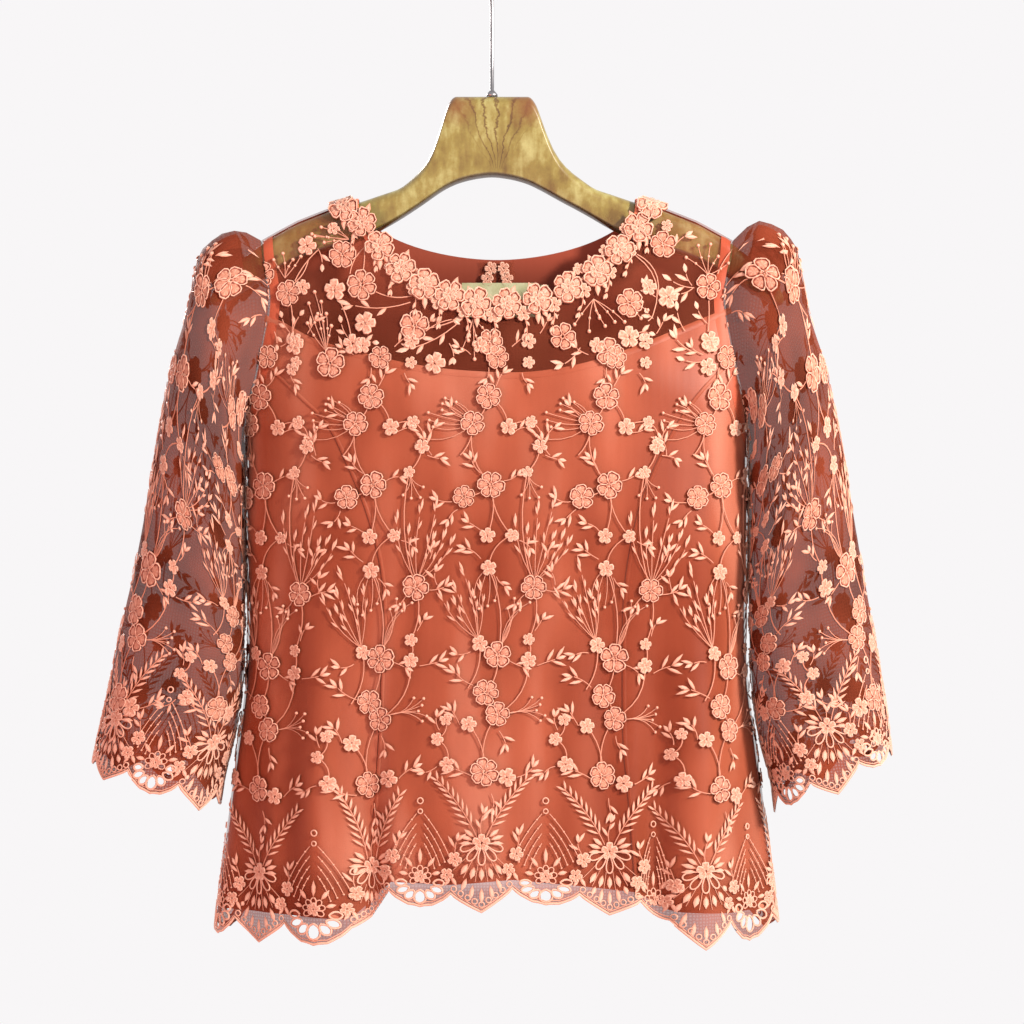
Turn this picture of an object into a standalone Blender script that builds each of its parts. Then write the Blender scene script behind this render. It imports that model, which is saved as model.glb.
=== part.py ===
"""A lace blouse on its hanger, in metres, +Z up, the front towards -Y.

The origin is the inside top of the hook. Sizes below are in millimetres. Each cloth piece is cut in a flat
chart, as a maker cuts it, and then laid on a surface: the body on its rings, a sleeve on its own.
"""

import math

import bpy
import numpy as np
from mathutils import Vector
from mathutils.geometry import delaunay_2d_cdt

MM = 0.001
WELD = 0.35  # points closer than this become one

# Each layer of cloth, from its inner to its outer face, as distances outward from the surface
LACE = (0.25, 1.25)
LINING = (-1.25, -0.25)
FACING = (-2.8, -1.8)
LABEL = (-4.3, -3.3)
TAG = (-2.35, -1.35)
TRIM_INNER = 2.8
TRIM_EDGE = 3.9
TRIM_CROWN = 1.5
SEAM_INSET = 0.3  # each side of a seam, so that two pieces lie 0.6 mm apart

ROW_STEP = 2.0
COLUMN_STEP = 3.0
TOP_ROW = -190.0
BOTTOM_ROW = -832.0
RING_POWER = 2.4
RING_SAMPLES = 241
OVER_SIDE = 60.0  # how far each chart runs on past the side seam

ARM_RADIUS = 9.0
ARM_START, ARM_TIP = 100.0, 229.0
TIP_START = 216.0
CLOTH_OVER_ARM = 2.3
SHOULDER_FADE = 150.0
ARMHOLE_SLANT = 0.1  # how far the armhole's edge runs in for each millimetre down over the arm

UNDERARM = -410.0
NECK_HALF = 112.0
NECK_POWER = 1.85
NECK_ENDS = (2.7, 5.4, 8.4)  # degrees round the neckline, close together over the arm
FRONT_NECK_DROP = 86.0
BACK_NECK_DROP = 46.0
SHOULDER_OUT = 188.0
SHOULDER_X = (112, 120, 128, 144.5, 161, 174.5, 188)
SHOULDER_ROWS = (4.3, 8.6, 12.9, 17.2)
LINING_LIFT = 14.0  # the lining's hem above the cusps of the lace
PRINCESS_START = 12  # the point of the armhole where a princess seam starts

SCALLOP_WIDTH = 47.0
BACK_SCALLOPS = 10
FAN_CENTRE_LIFT = 9.0
FULL_FAN_DROP, FAN_SMALLEST = 15.0, 6.0  # petals are full size from this drop, and this sets how they shrink
LEAST_CUT_DROP = 8.0  # a scallop that hangs less has no petals cut out

SLEEVE_ROUND = 336.0
SLEEVE_SCALLOP = SLEEVE_ROUND / 8
SLEEVE_POWER = 2.25
SLEEVE_INNER_POWER = 3.2  # flatter where the sleeve hangs beside the body
SLEEVE_COLUMNS = 144
SLEEVE_ROW = 3.0
SLEEVE_END = 408.0
ARMHOLE_FADE = 95.0
SEAM_STEP_OUT = (0.7, 2.4)  # the sleeve's start beyond the armhole, and as much more where the side turns
GATHER_PITCH = 22.0
GATHER_DEPTH = 1.9
GATHER_REACH = 48.0
GATHER_SPREAD = 105.0
HEAD_SPREAD = 62.0
HEAD_COLUMNS = 17
HEAD_THICK = 1.0

FLOWER_RADIUS = 12.2
FLOWER_NOTCH = 9.6
FLOWER_PETALS = 5
FLOWER_INNER = 6.2
FLOWER_TURN = 23.0  # each flower of the neckline is turned this many degrees from the last
TRIM_BAND = 4.6

HOOK_WIRE = 1.6
HOOK_INNER = 19.4
HOOK_SIDES = 10
BLOCK_SHIFT = -4.0  # the hanger's block and the hook's shank stand this far off the middle
BLOCK_HALF, BLOCK_FADE = 33.0, 45.0


def table(columns, *rows):
    """A table's columns by name."""
    return dict(zip(columns.split(), np.array(rows, float).T))


NECK_TURNS = np.radians([*NECK_ENDS, *range(14, 167, 8), *(180 - turn for turn in NECK_ENDS[::-1])])

BODY = table(
    "z half_width front_depth back_depth",
    (-840, 228, 75, 66),
    (-790, 223.5, 73, 64),
    (-734, 217, 68, 60),
    (-646, 206, 60, 52),
    (-600, 200.2, 56, 47),
    (-560, 198.3, 54, 44),
    (-470, 200, 62, 47),
    (-410, 199.5, 58, 46),
    (-360, 207, 54, 43),
    (-300, 214, 48, 39),
    (-220, 212, 38, 32),
    (-180, 212, 34, 30),
)

HANGER_TOP = table(
    "x z",
    (0, -132), (33, -132), (38.6, -147), (44, -165), (51, -181), (60, -192), (77, -205.6),
    (93.6, -211), (108, -216), (128, -221.5), (161, -234.5), (188, -249.5), (214, -270), (229, -285),
)
HANGER_BOTTOM = table(
    "x z",
    (0, -194.4), (31, -202.5), (60, -219.5), (94, -239.5), (170, -268), (214, -295), (229, -304),
)
HANGER_STATIONS = (0, 16, 33, 38.6, 44, 51, 60, 77, 94, 108, 128, 145, 161, 175, 188, 201, 214, 222, 227, 229)

ARMHOLE_STEPS = 15
ARMHOLE = table(
    "x z",
    (186, -262), (183, -277), (181, -292), (181.5, -308), (184.5, -326),
    (187.5, -343), (191, -360), (195.5, -380), (198.5, -399),
)
PRINCESS = table(
    "z right left",
    (-343, -187.5, 187.5), (-370, -158, 160), (-394, -133, 143), (-426, -116, 126), (-456, -103, 114),
    (-502, -90, 104), (-595, -89, 100), (-653, -92, 101), (-686, -94.5, 104), (-820, -104, 114),
)
LINING_TOP = table(
    "x z",
    (-186, -307), (-176, -310.5), (-148, -325.5), (-107, -338.5), (-62, -349), (-18, -354),
    (32, -354), (70, -347), (106, -335), (139, -321), (176, -305), (188, -300),
)
# The hem's cusps across the front as it hangs, and how far the scallop before each one drops
FRONT_HEM = table(
    "s z drop",
    (-252, -786, 0), (-214, -783, 13), (-166, -784, 17), (-113, -786, 14), (-83, -757, 6), (-35, -759, 11),
    (12, -755, 16), (64, -760, 10), (112, -766, 13), (136.5, -781, 3), (184, -784, 21), (229, -783, 17),
    (252, -786, 6),
)
BACK_HEM = table("s z drop", (0, -745, 19), (100, -752, 19), (160, -768, 19), (252, -786, 19))
# A sleeve's hem: how far down its cusps lie, how much higher at the outer line, and how far scallops drop
SLEEVE_HEMS = {
    "right": {"down": 372.0, "tilt": 12.0, "spray": 17.0, "fan": 12.5},
    "left": {"down": 368.0, "tilt": 18.0, "spray": 17.0, "fan": 12.5},
}
OUTER_DROP = 0.3  # scallops at the outer line drop this share less

FRONT_FOLDS = table(
    "s half_width depth start full",
    (-200, 26, -6, -520, -740), (-136, 34, 10, -420, -680), (-98, 21, -10, -500, -770),
    (-13, 46, 5, -520, -740), (88, 28, -5, -400, -600), (124, 21, -12, -480, -770), (160, 32, 10, -430, -680),
    (208, 24, -6, -520, -740),
)
BACK_FOLDS = table(
    "s half_width depth start full",
    (-150, 34, 8, -430, -660), (-96, 30, -7, -450, -680), (-34, 40, 5, -520, -740),
    (30, 32, -5, -540, -740), (88, 36, 8, -440, -660), (146, 32, -8, -460, -680), (196, 28, 5, -520, -740),
)

# A sleeve's rings, from the armhole down: the outer end of each sleeve's, their inner end and half depth
SLEEVE = table(
    "v right_x right_z left_x left_z inner_x inner_z half_depth",
    (0, 188.5, -247, 188.5, -247, 202.3, -410, 24),
    (11, 206, -240, 206, -233, 203, -412.5, 31),
    (22, 223, -246, 223.5, -238, 203, -416, 37),
    (33, 235.5, -258.5, 236, -251, 203.1, -421, 42),
    (48, 241, -278, 242, -274, 203.1, -428, 45),
    (70, 247, -306, 248, -305, 203.2, -440, 47),
    (97, 257, -341, 259, -341, 203.2, -458, 48),
    (130, 265, -382, 268, -382, 203.3, -482, 49),
    (174, 274.5, -438, 278, -438, 203.3, -514, 50),
    (229, 287.5, -508, 290, -508, 203.7, -553, 50),
    (270, 299, -559, 299, -559, 204.8, -584, 50),
    (305, 307, -600, 305.5, -600, 207, -612, 50),
    (335, 314.5, -633, 310.5, -633, 211, -638, 50),
    (376, 322, -673, 314, -673, 221, -678, 50),
    (410, 327, -706, 316, -706, 226, -711, 50),
)
# The loose points of a sleeve's cloth: rows down it, the pitch across and where each row starts
SLEEVE_GRID = table(
    "down pitch start",
    (10, 11, 1), (24, 11, 1), (40, 22, 12), (58, 22, 12), (84, 28, 14), (118, 28, 28), (152, 28, 14),
    (186, 28, 28), (220, 28, 14), (254, 28, 28), (288, 28, 14), (322, 28, 28),
)

# The petals cut out of a fan: the angle from straight down, where each starts and ends, and its half width
FAN_PETALS = table(
    "angle near far half_width",
    (-92, 10, 18.5, 2.1), (-65, 9, 19, 2.3), (-36, 8, 18, 2.5), (0, 6, 19, 3.4),
    (36, 8, 18, 2.5), (65, 9, 19, 2.3), (92, 10, 18.5, 2.1),
)

NECK_FLOWERS = table(
    "x z",
    (-122, -222), (-107, -234), (-93, -254), (-76, -272), (-57, -286), (-37, -295), (-16, -301),
    (8, -302), (32, -298), (56, -288), (79, -275), (97, -257), (112, -238), (123, -221),
)

# The gathered strip inside a sleeve's cap: how wide its rows spread, how far they lie below the net, their pleats
HEAD_ROWS = table(
    "down spread below pleat",
    (19, 0.72, 4.4, 0), (28, 0.84, 5.2, 1.2), (39, 0.94, 4.8, 2.0), (50, 1.0, 3.6, 2.4),
)

LABEL_SIZE = (59.0, 25.0)
LABEL_MIDDLE = (1.0, -291.5)
TAG_SIZE = (10.0, 12.0)
TAG_MIDDLE = (36.5, -286.5)
FACING_WIDTH = 15.0
FACING_WAVE = 2.2
FACING_END = -301.0
FACING_INSET = 0.3
NECK_INSET = 0.6

# The loose points of the body's cloth: rows, their stagger, columns in from the side seam, rows over the shoulder
GRID_TOP, GRID_BOTTOM, GRID_STEP, GRID_STAGGER = -268, -760, -37, 9
GRID_LAST = 232
GRID_FROM_SIDE = (8, 20)
GRID_BELOW_SHOULDER = 44
GRID_OVER_SHOULDER = (*SHOULDER_ROWS, 25, 36)
GRID_CLEAR, SHOULDER_CLEAR, SLEEVE_CLEAR = 9.0, 3.0, 5.0
BEYOND = 900.0

# A section of the hanger: round over the top as degrees, then the softer underside
HANGER_TURNS = (0, 30, 60, 90, 120, 150, 180, 205, 240, 300, 335)
UNDERSIDE = 0.6
# The hook's route from the block up to its bend, with the collar on the block
SHANK = table(
    "x z radius",
    (-4, -131.7, 4.6), (-4, -130, 4.4), (-4, -127.8, 2.6), (-4, -126.8, 1.6), (-4, -95, 1.6), (-4, -62, 1.6),
    (-4.2, -55, 1.6), (-5.2, -49.5, 1.6), (-7.4, -44, 1.6),
)
HOOK_TURN = (238, -22)
HOOK_STEPS = 21
HOOK_TIP_TURN, HOOK_TIP_SHARE = -27, 0.55

COLOURS = {
    "lace": (0.74, 0.31, 0.20),
    "lining": (0.66, 0.21, 0.12),
    "sleeve": (0.70, 0.33, 0.23),
    "head": (0.78, 0.22, 0.12),
    "trim": (0.83, 0.45, 0.31),
    "label": (0.78, 0.76, 0.55),
    "tag": (0.85, 0.84, 0.82),
    "hanger": (0.55, 0.38, 0.12),
    "steel": (0.30, 0.30, 0.29),
}


def clear_scene():
    for thing in list(bpy.data.objects):
        bpy.data.objects.remove(thing)


def material(name, roughness=0.6, metallic=0.0):
    made = bpy.data.materials.get(name) or bpy.data.materials.new(name)
    made.use_nodes = True
    shader = made.node_tree.nodes["Principled BSDF"]
    shader.inputs["Base Color"].default_value = (*COLOURS[name], 1)
    shader.inputs["Roughness"].default_value = roughness
    shader.inputs["Metallic"].default_value = metallic
    return made


def cubic(x, xs, ys):
    """The smooth curve through a table's points."""
    if xs[0] > xs[-1]:
        xs, ys = xs[::-1], ys[::-1]
    x = np.clip(x, xs[0], xs[-1])
    slope = np.gradient(ys, xs)
    i = np.clip(np.searchsorted(xs, x) - 1, 0, len(xs) - 2)
    width = xs[i + 1] - xs[i]
    u = (x - xs[i]) / width
    start = (2 * u**3 - 3 * u**2 + 1) * ys[i] + (u**3 - 2 * u**2 + u) * width * slope[i]
    return start + (3 * u**2 - 2 * u**3) * ys[i + 1] + (u**3 - u**2) * width * slope[i + 1]


def ease(u):
    """0 to 1, level at both ends."""
    u = np.clip(u, 0, 1)
    return u * u * (3 - 2 * u)


def signed_power(x, power):
    return np.sign(x) * np.abs(x) ** power


def shoulder_line(x):
    """The height of the shoulder seam, which lies over the hanger's arm."""
    x = np.clip(np.abs(x), ARM_START, ARM_TIP)
    return np.interp(x, HANGER_TOP["x"], HANGER_TOP["z"]) + CLOTH_OVER_ARM


def over_shoulder(x, y, z):
    """A ring's point, drawn in to the arm near the shoulder: round the arm first, then out to the ring."""
    radius = ARM_RADIUS + CLOTH_OVER_ARM
    quarter = radius * math.pi / 2
    down = shoulder_line(x) - z
    turn = np.clip(down, -quarter, quarter) / radius
    spread = ease((down - quarter) / (SHOULDER_FADE - quarter))
    side = np.where(y < 0, -1.0, 1.0)
    round_y = side * radius * np.sin(turn)
    round_z = shoulder_line(x) - radius * (1 - np.cos(turn))
    away_y = side * (radius + (np.abs(y) - radius) * spread)
    away_z = z + (quarter - radius) * (1 - spread)
    on_arm = down < quarter
    return np.where(on_arm, round_y, away_y), np.where(on_arm, round_z, away_z)


class Surface:
    """Places and outward normals over a chart of (across, up), read from an even grid."""

    def __init__(self, across, up, places, wrap=None):
        self.across, self.up, self.places, self.wrap = across, up, places, wrap
        along = np.gradient(places, across, axis=1)
        if wrap:
            step = across[1] - across[0]
            along = (np.roll(places, -1, 1) - np.roll(places, 1, 1)) / (2 * step)
        rising = np.gradient(places, up, axis=0)
        normals = np.cross(along, rising)
        self.normals = normals / np.maximum(np.linalg.norm(normals, axis=2, keepdims=True), 1e-9)

    def at(self, points):
        """The place and the normal at each chart point."""
        points = np.asarray(points, float)
        column = (points[:, 0] - self.across[0]) / (self.across[1] - self.across[0])
        row = (points[:, 1] - self.up[0]) / (self.up[1] - self.up[0])
        row = np.clip(row, 0, len(self.up) - 1.001)
        j, v = row.astype(int), (row % 1)[:, None]
        if self.wrap:
            column = column % len(self.across)
        else:
            column = np.clip(column, 0, len(self.across) - 1.001)
        i, u = column.astype(int), (column % 1)[:, None]
        beyond = (i + 1) % len(self.across)

        def read(grid):
            low = grid[j, i] * (1 - u) + grid[j, beyond] * u
            high = grid[j + 1, i] * (1 - u) + grid[j + 1, beyond] * u
            return low * (1 - v) + high * v

        normals = read(self.normals)
        return read(self.places), normals / np.linalg.norm(normals, axis=1, keepdims=True)


def body_rings():
    """Each level's ring from the front's middle to the back's, with the distance along it."""
    up = np.arange(BOTTOM_ROW, TOP_ROW + 1, ROW_STEP)
    turn = np.linspace(0, math.pi, RING_SAMPLES)
    across = np.sin(turn) ** (2 / RING_POWER)
    deep = signed_power(-np.cos(turn), 2 / RING_POWER)
    rings = []
    for z in up:
        half, front, back = (cubic(z, BODY["z"], BODY[name])
                             for name in ("half_width", "front_depth", "back_depth"))
        x, y = half * across, np.where(deep < 0, front, back) * deep
        along = np.concatenate([[0], np.cumsum(np.hypot(np.diff(x), np.diff(y)))])
        rings.append((x, y, along))
    return up, rings


def fold_depth(folds, s, z):
    """How far the cloth stands out at a chart point, from its table of folds."""
    depth = np.zeros(np.broadcast(s, z).shape)
    for row in range(len(folds["s"])):
        centre, half, deep, start, full = (folds[name][row] for name in folds)
        near = np.clip((s - centre) / half, -1, 1)
        depth += deep * np.cos(near * math.pi / 2) ** 2 * ease((start - z) / (start - full))
    return depth


class BodySide(Surface):
    """The front or the back of the body. Its chart runs across from the middle, to the right as it is seen."""

    def __init__(self, rings, front):
        up, levels = rings
        self.front = front
        middle = RING_SAMPLES // 2
        self.reach = np.array([along[middle] if front else along[-1] - along[middle] for *_, along in levels])
        last = math.ceil((self.reach.max() + OVER_SIDE) / COLUMN_STEP)
        across = np.arange(-last, last + 1) * COLUMN_STEP
        x, y = np.empty((len(up), len(across))), np.empty((len(up), len(across)))
        for row, (ring_x, ring_y, along) in enumerate(levels):
            away = np.abs(across) if front else along[-1] - np.abs(across)
            x[row] = np.interp(away, along, ring_x) * np.sign(across)
            y[row] = np.interp(away, along, ring_y)
        self.flat_x = np.abs(x)
        x = x if front else -x
        z = np.broadcast_to(up[:, None], x.shape)
        deep, height = over_shoulder(x, y, z)
        super().__init__(across, up, np.stack([x, deep, height], axis=2))
        folds = FRONT_FOLDS if front else BACK_FOLDS
        places = self.places + self.normals * fold_depth(folds, across[None, :], z)[:, :, None]
        super().__init__(across, up, places)

    def side(self, z):
        """The distance from the middle to the side seam at a height."""
        return np.interp(z, self.up, self.reach)

    def chart(self, x, z):
        """The chart points of places seen at (x, z)."""
        x, z = np.atleast_1d(np.asarray(x, float)), np.atleast_1d(np.asarray(z, float))
        radius = ARM_RADIUS + CLOTH_OVER_ARM
        quarter = radius * math.pi / 2
        level = z.copy()
        for _ in range(8):
            down = shoulder_line(x) - level
            spread = ease((down - quarter) / (SHOULDER_FADE - quarter))
            shift = np.clip(down, 0, quarter) - radius * (1 - np.cos(np.clip(down, 0, quarter) / radius))
            level = z - np.where(down < quarter, shift, (quarter - radius) * (1 - spread))
        found = []
        half = len(self.across) // 2
        for one_x, one_z in zip(x, level):
            row = int(np.clip(round((one_z - self.up[0]) / ROW_STEP), 0, len(self.up) - 1))
            limit = int(np.argmax(self.flat_x[row, half:])) + 1
            away = np.interp(abs(one_x), self.flat_x[row, half:half + limit], self.across[half:half + limit])
            sign = math.copysign(1, one_x) * (1 if self.front else -1)
            found.append((sign * away, one_z))
        return np.array(found)


def armhole_edge(body, sign):
    """The armhole's edge on one side of a chart, from the shoulder down to the side seam."""
    z = np.linspace(ARMHOLE["z"][0], ARMHOLE["z"][-1], ARMHOLE_STEPS)
    x = sign * cubic(z, ARMHOLE["z"], ARMHOLE["x"]) * (1 if body.front else -1)
    edge = body.chart(x, z)
    tip, level = seam_point(body, sign, SHOULDER_OUT)
    over_arm = [(tip - sign * ARMHOLE_SLANT * down, level - down) for down in (0, *SHOULDER_ROWS[:-1])]
    underarm = (sign * body.side(UNDERARM), UNDERARM)
    return np.vstack([over_arm, edge, [underarm]])


def seam_point(body, sign, x):
    """A point of the shoulder seam in a chart."""
    level = float(shoulder_line(x))
    row = int(round((level - body.up[0]) / ROW_STEP))
    half = len(body.across) // 2
    limit = int(np.argmax(body.flat_x[row, half:])) + 1
    return sign * np.interp(x, body.flat_x[row, half:half + limit], body.across[half:half + limit]), level


def shoulder_edge(body, sign):
    """The shoulder seam from the neck out to the armhole."""
    return np.array([seam_point(body, sign, x) for x in SHOULDER_X])


def neck_edge(body):
    """The neckline, from one shoulder to the other."""
    drop = FRONT_NECK_DROP if body.front else BACK_NECK_DROP
    turn = NECK_TURNS
    x = -NECK_HALF * signed_power(np.cos(turn), 2 / NECK_POWER)
    z = float(shoulder_line(NECK_HALF)) - drop * np.sin(turn) ** (2 / NECK_POWER)
    inner = body.chart(x if body.front else -x, z)
    return np.vstack([[seam_point(body, -1, NECK_HALF)], inner, [seam_point(body, 1, NECK_HALF)]])


def scallop(kind, share, drop):
    """How far a scallop hangs below its cusps at a share of its width, from -1 to 1."""
    away = abs(share)
    if kind == "spray":
        return drop * (1 - away) ** 0.82
    lobes = 0.09 * math.cos(share * 2.5 * math.pi) ** 2 * (1 - away)
    return drop * ((1 - away**2.3) * 0.91 + lobes)


SCALLOP_STEPS = {"spray": (-1, -0.7, -0.35, 0, 0.35, 0.7), "fan": (-1, -0.85, -0.55, -0.2, 0.2, 0.55, 0.85)}


def cusp_height(body, s):
    if body.front:
        return np.interp(s, FRONT_HEM["s"], FRONT_HEM["z"])
    return np.interp(np.abs(s), BACK_HEM["s"], BACK_HEM["z"])


def body_scallops(body):
    """Each scallop's kind, its two cusps and its drop, across the whole hem of a chart."""
    reach = float(body.side(FRONT_HEM["z"][0]))
    if body.front:
        cusps, drops = (-reach, *FRONT_HEM["s"][1:-1], reach), FRONT_HEM["drop"][1:]
    else:
        cusps = np.linspace(-reach, reach, BACK_SCALLOPS + 1)
        drops = np.interp(np.abs(cusps[:-1]), BACK_HEM["s"], BACK_HEM["drop"])
    kinds = ("fan", "spray") if body.front else ("spray", "fan")
    return [(kinds[step % 2], start, end, drop)
            for step, (start, end, drop) in enumerate(zip(cusps[:-1], cusps[1:], drops))]


def hem_points(scallops, cusp_at):
    """A scalloped edge, from its first cusp to its last."""
    points = []
    for kind, start, end, drop in scallops:
        middle, half = (start + end) / 2, (end - start) / 2
        for share in SCALLOP_STEPS[kind]:
            s = middle + share * half
            points.append((s, cusp_at(s) - scallop(kind, share, drop) * (share > -1)))
    return np.array([*points, (end, cusp_at(end))])


def petal_holes(scallops, cusp_at):
    """The outlines of the petals cut out of every fan."""
    holes = []
    for kind, start, end, drop in scallops:
        if kind != "fan" or drop < LEAST_CUT_DROP:
            continue
        middle = (start + end) / 2
        scale = min(1, (drop + FAN_SMALLEST) / (FULL_FAN_DROP + FAN_SMALLEST))
        centre = np.array([middle, cusp_at(middle) + FAN_CENTRE_LIFT * scale])
        squeeze = np.array([(end - start) / SCALLOP_WIDTH, scale])
        for angle, near, far, half in zip(*FAN_PETALS.values()):
            turn = math.radians(angle)
            out = np.array([math.sin(turn), -math.cos(turn)])
            beside = np.array([math.cos(turn), math.sin(turn)])
            ring = ((0, 0), (0.36, 1), (0.76, 0.92), (1, 0), (0.76, -0.92), (0.36, -1))
            holes.append(np.array([
                centre + squeeze * ((near + share * (far - near)) * out + wide * half * beside)
                for share, wide in ring
            ]))
    return holes


def closed(line):
    return np.vstack([line, line[:1]])


def inside(points, outline):
    """Which of the points lie within a closed outline."""
    hit = np.zeros(len(points), bool)
    x, y = points[:, 0], points[:, 1]
    for (x0, y0), (x1, y1) in zip(outline, np.roll(outline, -1, axis=0)):
        if y0 != y1:
            hit ^= ((y0 > y) != (y1 > y)) & (x < (x1 - x0) * (y - y0) / (y1 - y0) + x0)
    return hit


def spread_points(candidates, lines, clearance):
    """The points that lie at least this far from every line."""
    candidates = np.array(candidates, float)
    keep = np.ones(len(candidates), bool)
    for line in lines:
        for start, end in zip(line[:-1], line[1:]):
            run = end - start
            share = np.clip(((candidates - start) @ run) / max(run @ run, 1e-9), 0, 1)
            keep &= np.linalg.norm(candidates - start - share[:, None] * run, axis=1) >= clearance
    return candidates[keep]


def triangulate(lines, loose, weld=WELD):
    """Triangles over a chart, with every line kept as edges."""
    points, edges = [], []
    for line in lines:
        first = len(points)
        points += [Vector(point) for point in line]
        edges += [(i, i + 1) for i in range(first, len(points) - 1)]
    points += [Vector(point) for point in loose]
    found, _, faces, *_ = delaunay_2d_cdt(points, edges, [], 0, weld)
    chart, faces = np.array([tuple(p) for p in found]), np.array(faces)
    first, second = chart[faces[:, 1]] - chart[faces[:, 0]], chart[faces[:, 2]] - chart[faces[:, 0]]
    turned = first[:, 0] * second[:, 1] - first[:, 1] * second[:, 0] < 0
    faces[turned] = faces[turned][:, ::-1]
    return chart, faces


def border(faces):
    """The edges that only one triangle has, each with the cloth on its left."""
    edges = np.concatenate([faces[:, [0, 1]], faces[:, [1, 2]], faces[:, [2, 0]]])
    known = {tuple(edge) for edge in edges.tolist()}
    return [edge for edge in known if edge[::-1] not in known]


def drawn_in(chart, faces, distance):
    """The chart with the points on a piece's edge moved in, so that it lies clear of its neighbours."""
    inward = {}
    for a, b in border(faces):
        run = chart[b] - chart[a]
        left = np.array([-run[1], run[0]]) / np.linalg.norm(run)
        for end in (a, b):
            inward.setdefault(end, []).append(left)
    moved = chart.copy()
    for point, sides in inward.items():
        if len(sides) != 2:
            raise ValueError(f"the cloth meets itself at {chart[point]}")
        corner = sides[0] + sides[1]
        moved[point] += distance * corner / max(1 + sides[0] @ sides[1], 0.5)
    return moved


def wall(name, chart, faces, surface, inner, outer, look, rough=0.6):
    """A closed wall of cloth over some triangles of a chart. The outer face may have a height for each point."""
    used, faces = np.unique(faces, return_inverse=True)
    faces = faces.reshape(-1, 3)
    flat = drawn_in(chart[used], faces, SEAM_INSET)
    places, normals = surface.at(flat)
    inner, outer = (np.broadcast_to(height if np.isscalar(height) else height[used], len(used))
                    for height in (inner, outer))
    low = places + normals * inner[:, None]
    high = places + normals * outer[:, None]
    count = len(used)
    rim = border(faces)
    sides = [(a, b, b + count, a + count) for a, b in rim]
    solid = [tuple(face + count) for face in faces] + [tuple(face[::-1]) for face in faces] + sides
    corners = places[faces]
    facing = np.cross(corners[:, 1] - corners[:, 0], corners[:, 2] - corners[:, 0])
    if (facing * normals[faces[:, 0]]).sum() < 0:
        solid = [face[::-1] for face in solid]
    return add_mesh(name, np.vstack([low, high]), solid, look, rough)


def add_mesh(name, points, faces, look, rough=0.6, metallic=0.0):
    mesh = bpy.data.meshes.new(name)
    mesh.from_pydata((points * MM).tolist(), [], [tuple(int(i) for i in face) for face in faces])
    mesh.materials.append(material(look, rough, metallic))
    mesh.shade_smooth()
    made = bpy.data.objects.new(name, mesh)
    bpy.context.scene.collection.objects.link(made)
    return made


def body_grid(body, edges):
    """Loose points for the body: columns on the folds, closer rows over the shoulder, closer columns at a side."""
    folds = FRONT_FOLDS if body.front else BACK_FOLDS
    columns = sorted([*folds["s"], *((folds["s"][1:] + folds["s"][:-1]) / 2), -GRID_LAST, GRID_LAST])
    points = []
    for row, z in enumerate(np.arange(GRID_TOP, GRID_BOTTOM, GRID_STEP)):
        for s in columns:
            points.append((s, z - GRID_STAGGER * (row % 2)))
        for from_side in GRID_FROM_SIDE:
            for sign in (-1, 1):
                points.append((sign * (float(body.side(z)) - from_side), z))
    shoulder = []
    for down in GRID_OVER_SHOULDER:
        for x in SHOULDER_X[:-1]:
            for sign in (-1, 1):
                s, level = seam_point(body, sign, x)
                shoulder.append((s, level - down))
    points = [p for p in points if p[1] < shoulder_line(min(abs(p[0]), SHOULDER_OUT)) - GRID_BELOW_SHOULDER]
    return np.vstack([spread_points(points, edges, GRID_CLEAR), spread_points(shoulder, edges, SHOULDER_CLEAR)])


def body_side(body):
    """One side's outline, the lines it is cut along with the petals' holes, and the lining's hem."""
    scallops = body_scallops(body)
    holes = petal_holes(scallops, lambda s: float(cusp_height(body, s)))
    neck, hem = neck_edge(body), hem_points(scallops, lambda s: float(cusp_height(body, s)))
    outline = [neck]
    lines = [neck, hem]
    for sign in (1, -1):
        shoulder, armhole = shoulder_edge(body, sign), armhole_edge(body, sign)
        bottom = hem[-1] if sign > 0 else hem[0]
        heights = np.linspace(UNDERARM, bottom[1], 12)[1:-1]
        seam = np.vstack([armhole[-1:], [(sign * body.side(z), z) for z in heights], [bottom]])
        lines += [shoulder, armhole, seam]
        edge = np.vstack([shoulder[1:], armhole[1:], seam[1:-1]])
        outline += [edge, hem[::-1]] if sign > 0 else [edge[::-1]]
    outline = np.vstack(outline)
    past = body.side(hem[0][1]) + 4
    lining_hem = np.array([(s, cusp_height(body, s) + LINING_LIFT) for s in np.linspace(-past, past, 17)])
    lines += [lining_hem] + [closed(hole) for hole in holes]
    return outline, holes, lines, lining_hem


def seam_polygon(line, sign):
    """Everything outward of a seam that runs down a chart."""
    far = sign * BEYOND
    return np.vstack([line, [(line[-1][0], -BEYOND), (far, -BEYOND), (far, line[0][1])]])


def make_front(body):
    outline, holes, lines, lining_hem = body_side(body)
    seams = {}
    for name, sign in (("right", -1), ("left", 1)):
        line = body.chart(PRINCESS[name], PRINCESS["z"])
        line[0] = armhole_edge(body, sign)[PRINCESS_START]
        seams[name] = line
        lines.append(line)
    top = body.chart(LINING_TOP["x"], LINING_TOP["z"])
    lines.append(top)
    chart, faces = triangulate(lines, body_grid(body, lines))
    middle = chart[faces].mean(axis=1)
    whole = inside(middle, outline)
    uncut = whole & ~np.any([inside(middle, hole) for hole in holes], axis=0)
    lined = whole & inside(middle, np.vstack([top, lining_hem[::-1]]))
    beyond = {name: inside(middle, seam_polygon(seams[name], sign)) for name, sign in (("right", -1), ("left", 1))}
    centre = ~beyond["left"] & ~beyond["right"]
    wall("lace_front_centre", chart, faces[uncut & centre], body, *LACE, "lace")
    wall("lining_front_centre", chart, faces[lined & centre], body, *LINING, "lining", 0.45)
    for name, part in beyond.items():
        wall(f"lace_side_front_{name}", chart, faces[uncut & part], body, *LACE, "lace")
        wall(f"lining_side_front_{name}", chart, faces[lined & part], body, *LINING, "lining", 0.45)


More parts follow.
